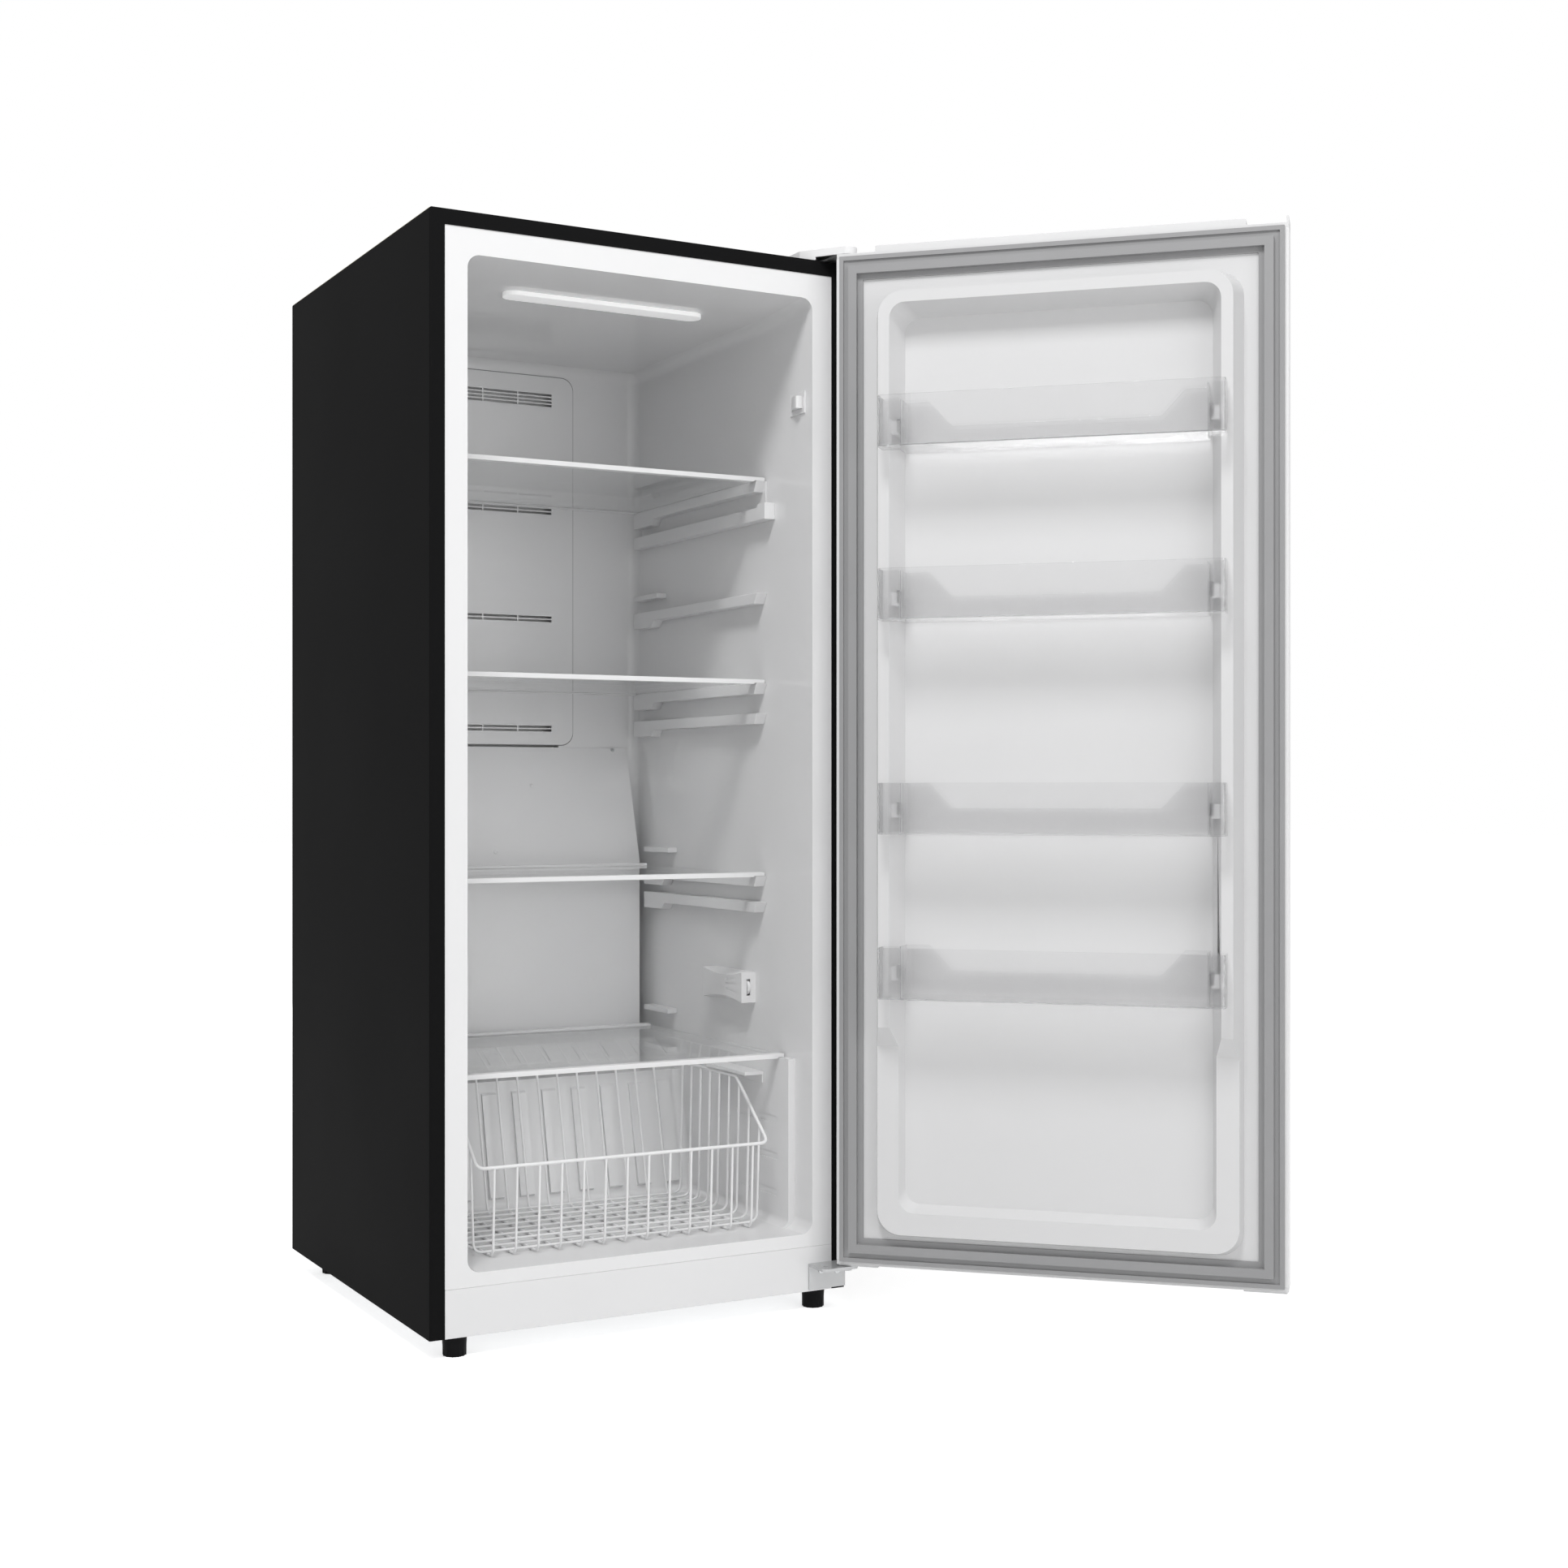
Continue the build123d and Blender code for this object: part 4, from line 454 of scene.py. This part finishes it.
# The air control's housing is a hollow moulding. Its face is scooped along the upper and the
# lower edge, with three short grooves in a fan, and its front end is open for the wheel.
housing_low, housing_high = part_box("control_housing")
wheel_low, wheel_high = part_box("control_wheel")
housing_reach = housing_high[0] - housing_low[0]
housing_long = housing_high[1] - housing_low[1]
housing_level = (housing_low[2] + housing_high[2]) / 2
housing_wall, scoop_deep, past = 0.002, 0.008, 0.001
scoop_radius = (housing_long ** 2 / 4 + scoop_deep ** 2) / (2 * scoop_deep)
scoop_lean = math.atan2(scoop_deep, housing_reach)
housing = block(housing_low, housing_high)
for side, edge in ((1, housing_high[2]), (-1, housing_low[2])):
    deselect_all()
    bpy.ops.mesh.primitive_cylinder_add(vertices=256, radius=scoop_radius,
                                        depth=2 * scoop_radius)
    scoop = bpy.context.object
    scoop_place = (housing_low[0], housing_low[1] + housing_long / 2,
                   edge + side * (scoop_radius / math.cos(scoop_lean) - scoop_deep))
    scoop.data.transform(Matrix.Translation(scoop_place)
                         @ Matrix.Rotation(math.radians(90) - side * scoop_lean, 4, "Y"))
    cut_away(housing, scoop)
cut_away(housing, block(
    (housing_low[0] + housing_wall, housing_low[1] + housing_wall,
     housing_low[2] + scoop_deep + housing_wall),
    (housing_high[0] + past, housing_high[1] - housing_wall,
     housing_high[2] - scoop_deep - housing_wall)))
cut_away(housing, block(
    (wheel_low[0] - past, housing_low[1] - past, wheel_low[2]),
    (wheel_high[0] + past, housing_low[1] + housing_wall + past, wheel_high[2])))
groove_long, groove_tall, groove_deep, groove_back = 0.034, 0.0032, 0.0011, 0.042
for rise, slope in ((0.0125, 6), (0.004, 2), (-0.0075, -6)):
    groove = block((housing_low[0] - past, -groove_long / 2, -groove_tall / 2),
                   (housing_low[0] + groove_deep, groove_long / 2, groove_tall / 2))
    groove.data.transform(
        Matrix.Translation((0, housing_low[1] + groove_back, housing_level + rise))
        @ Matrix.Rotation(math.radians(-slope), 4, "X"))
    cut_away(housing, groove)
round_edges(housing, width=0.001, segments=3, angle=30)
smooth(housing, angle=30)
dress(housing, "control_housing_finished", "cabinet", trim_white)
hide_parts("control_housing")

# ------------------------------------------------------------------ machine compartment
# Black enamelled compressor on rubber grommets, the cord's rubber gland, and the copper tubes
# here and behind the side sheets.
black_enamel = surface("black_enamel", (0.01, 0.01, 0.01), 0.25, grain=300, bump=0.08, coat=0.5)
finished_copy("compressor", 0.001, black_enamel)
rubber = surface("black_rubber", (0.012, 0.012, 0.012), 0.75, grain=700, bump=0.15,
                 specular=0.25)
for name in ("compressor_grommets", "cord_gland"):
    finished_copy(name, 0.0004, rubber)
copper = surface("copper", (0.72, 0.36, 0.22), 0.3, grain=200, metallic=1.0, shade=0.12,
                 gloss=0.1, clouds=25)
for name in ("refrigerant_tubes", "condenser_tubes"):
    finish_node(name, copper)

# ------------------------------------------------------------------ feet
# Four ribbed black levelling feet.
for number in range(1, 5):
    finished_copy("foot_" + str(number), 0.0006, dark_plastic)

# ------------------------------------------------------------------ hinges
# Plated steel bracket, arm and the door's end plates, with cross-head screws, and the white
# moulded cover over the arm. The machine compartment's cover has the same kind of screws.
plated = surface("plated_steel", (0.5, 0.505, 0.51), 0.34, grain=220, bump=0.04, clouds=30,
                 shade=0.03, metallic=0.45)
for name in ("bottom_hinge", "top_hinge", "door_end_plates"):
    finished_copy(name, 0.0006, plated)
finished_copy("top_hinge_cover", 0.002, trim_white)
screw_low, screw_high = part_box("hinge_screws")
bracket_low, bracket_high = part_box("bottom_hinge")
head_radius, head_tall, arm_screw_gap = 0.005, 0.0024, 0.042
bracket_face = screw_low[1] + head_tall
arm_face = screw_high[2] - head_tall
arm_screw_x = (bracket_low[0] + bracket_high[0]) / 2
arm_screw_back = screw_high[1] - head_radius
hinge_places = []
for inset, height in ((0.022, 0.063), (0.052, 0.06)):
    hinge_places.append(((bracket_low[0] + inset, bracket_face, height), (0, -1, 0)))
for y in (arm_screw_back - arm_screw_gap, arm_screw_back):
    hinge_places.append(((arm_screw_x, y, arm_face), (0, 0, 1)))
hinge_heads = stand_at(cross_head(head_radius, head_tall), hinge_places)
dress(hinge_heads, "hinge_screws_finished", "cabinet", screw_steel)
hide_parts("hinge_screws")
cover_low, cover_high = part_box("machine_cover")
cover_inset, inner_screw = 0.009, 0.12
back_places = []
for x in (cover_low[0] + cover_inset, -inner_screw, inner_screw, cover_high[0] - cover_inset):
    for z in (cover_low[2] + cover_inset, cover_high[2] - cover_inset):
        back_places.append(((x, cover_high[1], z), (0, 1, 0)))
back_screws = stand_at(cross_head(radius=0.004, tall=0.002), back_places)
dress(back_screws, "back_screws", "cabinet", screw_steel)

# ------------------------------------------------------------------ door
# White painted steel skin between pale plastic caps, with pale hinge bushes and a foam plug, a
# glossy white liner and a grey gasket.
door_paint = surface("door_paint", (0.78, 0.78, 0.785), 0.36, grain=900, bump=0.035, clouds=2,
                     shade=0.004, gloss=0.01)
finished_copy("door_skin", 0, door_paint)
cap_white = surface("cap_white", (0.7, 0.7, 0.705), 0.42, grain=900, bump=0.06, shade=0.01)
for name in ("door_top_cap", "door_bottom_cap"):
    finished_copy(name, 0.0008, cap_white)
finish_node("door_bushes", cap_white)
finished_copy("foam_plug", 0.0004, cap_white)
door_white = surface("door_white", (0.66, 0.66, 0.665), 0.24, grain=180, bump=0.012, clouds=4,
                     shade=0.005, gloss=0.01)
finished_copy("door_liner", 0.0035, door_white)
gasket_grey = surface("gasket_grey", (0.3, 0.3, 0.305), 0.5, grain=600, bump=0.06, shade=0.02)
finished_copy("door_gasket", 0, gasket_grey)

# ------------------------------------------------------------------ bins and shelves
# Clear moulded bins on the door, and toughened glass shelves with white clip-on trims. The
# lowest glass covers the basket.


def clear(name, colour, roughness, index, thin):
    """a clear material with a faint moulded ripple, thin where seen flat and full edge-on"""
    seen_flat = 0.35
    material, tree, shader = new_material(name)
    add_ripple(tree, shader, grain=40.0, bump=0.02)
    shader.inputs["Base Color"].default_value = (*colour, 1)
    shader.inputs["Roughness"].default_value = roughness
    shader.inputs["IOR"].default_value = index
    shader.inputs["Transmission Weight"].default_value = 1.0
    edge_on = tree.nodes.new("ShaderNodeLayerWeight")
    edge_on.inputs["Blend"].default_value = 0.5
    fullness = spread(tree, edge_on.outputs["Facing"], thin, 1.0, value_low=seen_flat)
    tree.links.new(fullness, shader.inputs["Alpha"])
    return material


clear_plastic = clear("clear_plastic", (0.78, 0.78, 0.785), roughness=0.02, index=1.4, thin=0.3)
for number in range(1, 5):
    finished_copy("bin_" + str(number), 0.0006, clear_plastic)
shelf_glass = clear("shelf_glass", (0.95, 0.965, 0.96), roughness=0.0, index=1.45, thin=0.35)
for name in ("shelf_1", "shelf_2", "shelf_3", "cover"):
    finished_copy(name + "_glass", 0.0004, shelf_glass)
    finished_copy(name + "_trim", 0.0008, trim_white)

# ------------------------------------------------------------------ basket
# White coated welded wire: a heavier rim that drops at the front, long wires front to back
# and cross wires side to side, each bent up at its ends and welded to the rim.
front_y, cabinet_bottom = -0.3635, 0.03
basket_half, basket_front, basket_rear = 0.254, 0.074, 0.458
front_foot, rear_foot = 0.08, 0.398
front_rim, rim, rise_end = 0.235, 0.332, 0.188
floor_level, wire_radius, rim_radius = 0.0964, 0.0021, 0.0029
wire_bend, rim_bend, toe_in = 0.016, 0.014, 0.005
weld_rise = 1.8 * wire_radius
long_wires, long_half, cross_wires = 13, 0.226, 9
first_cross, last_cross = 0.104, 0.392


def basket_point(x, depth, height):
    """a point from its depth behind the cabinet's front and its height over the bottom"""
    return Vector((x, front_y + depth, cabinet_bottom + height))


def rounded_path(corners, radius, closed=False, steps=6):
    """points through a row of corners, with each corner rounded off"""
    most = 0.45
    count = len(corners)
    path = [] if closed else [corners[0]]
    for number in range(0 if closed else 1, count if closed else count - 1):
        before, corner, after = corners[number - 1], corners[number], corners[(number + 1) % count]
        to_before, to_after = before - corner, after - corner
        half_angle = to_before.angle(to_after) / 2
        reach = min(radius / math.tan(half_angle), to_before.length * most,
                    to_after.length * most)
        start = corner + to_before.normalized() * reach
        end = corner + to_after.normalized() * reach
        for step in range(steps + 1):
            share = step / steps
            path.append(start.lerp(corner, share).lerp(corner.lerp(end, share), share))
    return path if closed else path + [corners[-1]]


def bent_wire(points, radius, closed=False):
    """a round wire through points"""
    deselect_all()
    bpy.ops.curve.primitive_nurbs_path_add(location=(0, 0, 0))
    strand = bpy.context.object
    strand.data.splines.clear()
    line = strand.data.splines.new("POLY")
    line.points.add(len(points) - 1)
    for knot, point in zip(line.points, points):
        knot.co = (*point, 1)
    line.use_cyclic_u = closed
    strand.data.bevel_depth = radius
    strand.data.bevel_resolution = 2
    strand.data.use_fill_caps = not closed
    bpy.ops.object.convert(target="MESH")
    return bpy.context.object


wires = [bent_wire(rounded_path([
    basket_point(-basket_half, basket_front, front_rim),
    basket_point(-basket_half, rise_end, rim),
    basket_point(-basket_half, basket_rear, rim),
    basket_point(basket_half, basket_rear, rim),
    basket_point(basket_half, rise_end, rim),
    basket_point(basket_half, basket_front, front_rim)], rim_bend, True), rim_radius, True)]
for number in range(long_wires):
    x = long_half * (2 * number / (long_wires - 1) - 1)
    wires.append(bent_wire(rounded_path([
        basket_point(x, basket_front, front_rim), basket_point(x, front_foot, floor_level),
        basket_point(x, rear_foot, floor_level), basket_point(x, basket_rear, rim)],
        wire_bend), wire_radius))
for number in range(cross_wires):
    depth = first_cross + number * (last_cross - first_cross) / (cross_wires - 1)
    climb = min((depth - basket_front) / (rise_end - basket_front), 1)
    top = front_rim + climb * (rim - front_rim)
    level = floor_level + weld_rise
    foot = basket_half - toe_in
    wires.append(bent_wire(rounded_path([
        basket_point(-basket_half, depth, top), basket_point(-foot, depth, level),
        basket_point(foot, depth, level), basket_point(basket_half, depth, top)],
        wire_bend), wire_radius))
basket = join(wires)
smooth(basket, angle=60)
wire_white = surface("wire_white", (0.82, 0.82, 0.825), 0.3, grain=600, bump=0.04, shade=0.01)
dress(basket, "wire_basket_finished", "basket_body", wire_white)
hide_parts("wire_basket")

# ------------------------------------------------------------------ studio
# Plain white floor and surroundings, a soft lamp high at the left in front, large faint ones in
# front and behind that show in no reflection, and the camera.
floor_size, floor_grey, floor_strength = 60, 0.85, 0.58
world_dim, world_bright = 0.55, 1.0
deselect_all()
bpy.ops.mesh.primitive_plane_add(size=floor_size, location=(0, 0, 0))
floor = bpy.context.object
floor.name = "floor"


def seen_directly(tree):
    """a value that is one for camera, transmission and glossy rays"""
    path = tree.nodes.new("ShaderNodeLightPath")
    direct = tree.nodes.new("ShaderNodeMath")
    direct.operation = "MAXIMUM"
    seen = tree.nodes.new("ShaderNodeMath")
    seen.operation = "MAXIMUM"
    tree.links.new(path.outputs["Is Camera Ray"], direct.inputs[0])
    tree.links.new(path.outputs["Is Transmission Ray"], direct.inputs[1])
    tree.links.new(direct.outputs["Value"], seen.inputs[0])
    tree.links.new(path.outputs["Is Glossy Ray"], seen.inputs[1])
    return seen.outputs["Value"]


floor_white = bpy.data.materials.new("floor_white")
floor_white.use_nodes = True
floor_nodes = floor_white.node_tree.nodes
floor_links = floor_white.node_tree.links
floor_nodes.clear()
floor_plain = floor_nodes.new("ShaderNodeBsdfDiffuse")
floor_plain.inputs["Color"].default_value = (floor_grey, floor_grey, floor_grey, 1)
floor_glow = floor_nodes.new("ShaderNodeEmission")
floor_glow.inputs["Strength"].default_value = floor_strength
floor_bright = floor_nodes.new("ShaderNodeAddShader")
floor_mix = floor_nodes.new("ShaderNodeMixShader")
floor_out = floor_nodes.new("ShaderNodeOutputMaterial")
floor_links.new(floor_plain.outputs["BSDF"], floor_bright.inputs[0])
floor_links.new(floor_glow.outputs["Emission"], floor_bright.inputs[1])
floor_links.new(seen_directly(floor_white.node_tree), floor_mix.inputs["Fac"])
floor_links.new(floor_plain.outputs["BSDF"], floor_mix.inputs[1])
floor_links.new(floor_bright.outputs["Shader"], floor_mix.inputs[2])
floor_links.new(floor_mix.outputs["Shader"], floor_out.inputs["Surface"])
floor.data.materials.append(floor_white)

world = bpy.data.worlds.new("studio")
bpy.context.scene.world = world
world.use_nodes = True
world_tree = world.node_tree
world_shader = world_tree.nodes["Background"]
world_level = spread(world_tree, seen_directly(world_tree), world_dim, world_bright)
world_tree.links.new(world_level, world_shader.inputs["Strength"])
world_shader.inputs["Color"].default_value = (1, 1, 1, 1)


def soft_lamp(name, place, target, size, power, reflected):
    """a square soft lamp aimed at a target, which may be kept out of reflections"""
    data = bpy.data.lights.new(name, "AREA")
    data.size = size
    data.energy = power
    lamp = bpy.data.objects.new(name, data)
    lamp.location = place
    lamp.rotation_mode = "QUATERNION"
    lamp.rotation_quaternion = (Vector(target) - Vector(place)).to_track_quat("-Z", "Y")
    lamp.visible_glossy = reflected
    bpy.context.scene.collection.objects.link(lamp)


soft_lamp("overhead_lamp", place=(-1.33, -2.23, 4.36), target=(0.1, -0.3, 0.9),
          size=1.0, power=94, reflected=True)
soft_lamp("front_fill", place=(1.2, -4.6, 0.8), target=(0.1, -0.3, 0.8),
          size=3.0, power=56, reflected=False)
soft_lamp("rear_fill", place=(1.6, 4.4, 1.7), target=(0.1, 0.0, 0.9),
          size=3.0, power=70, reflected=False)

camera_data = bpy.data.cameras.new("camera")
camera_data.sensor_width = 36
camera_data.lens = 48.26
camera_data.shift_y = 0.0042
camera = bpy.data.objects.new("camera", camera_data)
camera.location = (-1.406, -3.3435, 0.847)
camera.rotation_mode = "QUATERNION"
camera.rotation_quaternion = Vector((0.4843, 0.8749, 0)).to_track_quat("-Z", "Y")
bpy.context.scene.collection.objects.link(camera)
bpy.context.scene.camera = camera
bpy.context.scene.view_settings.view_transform = "Standard"
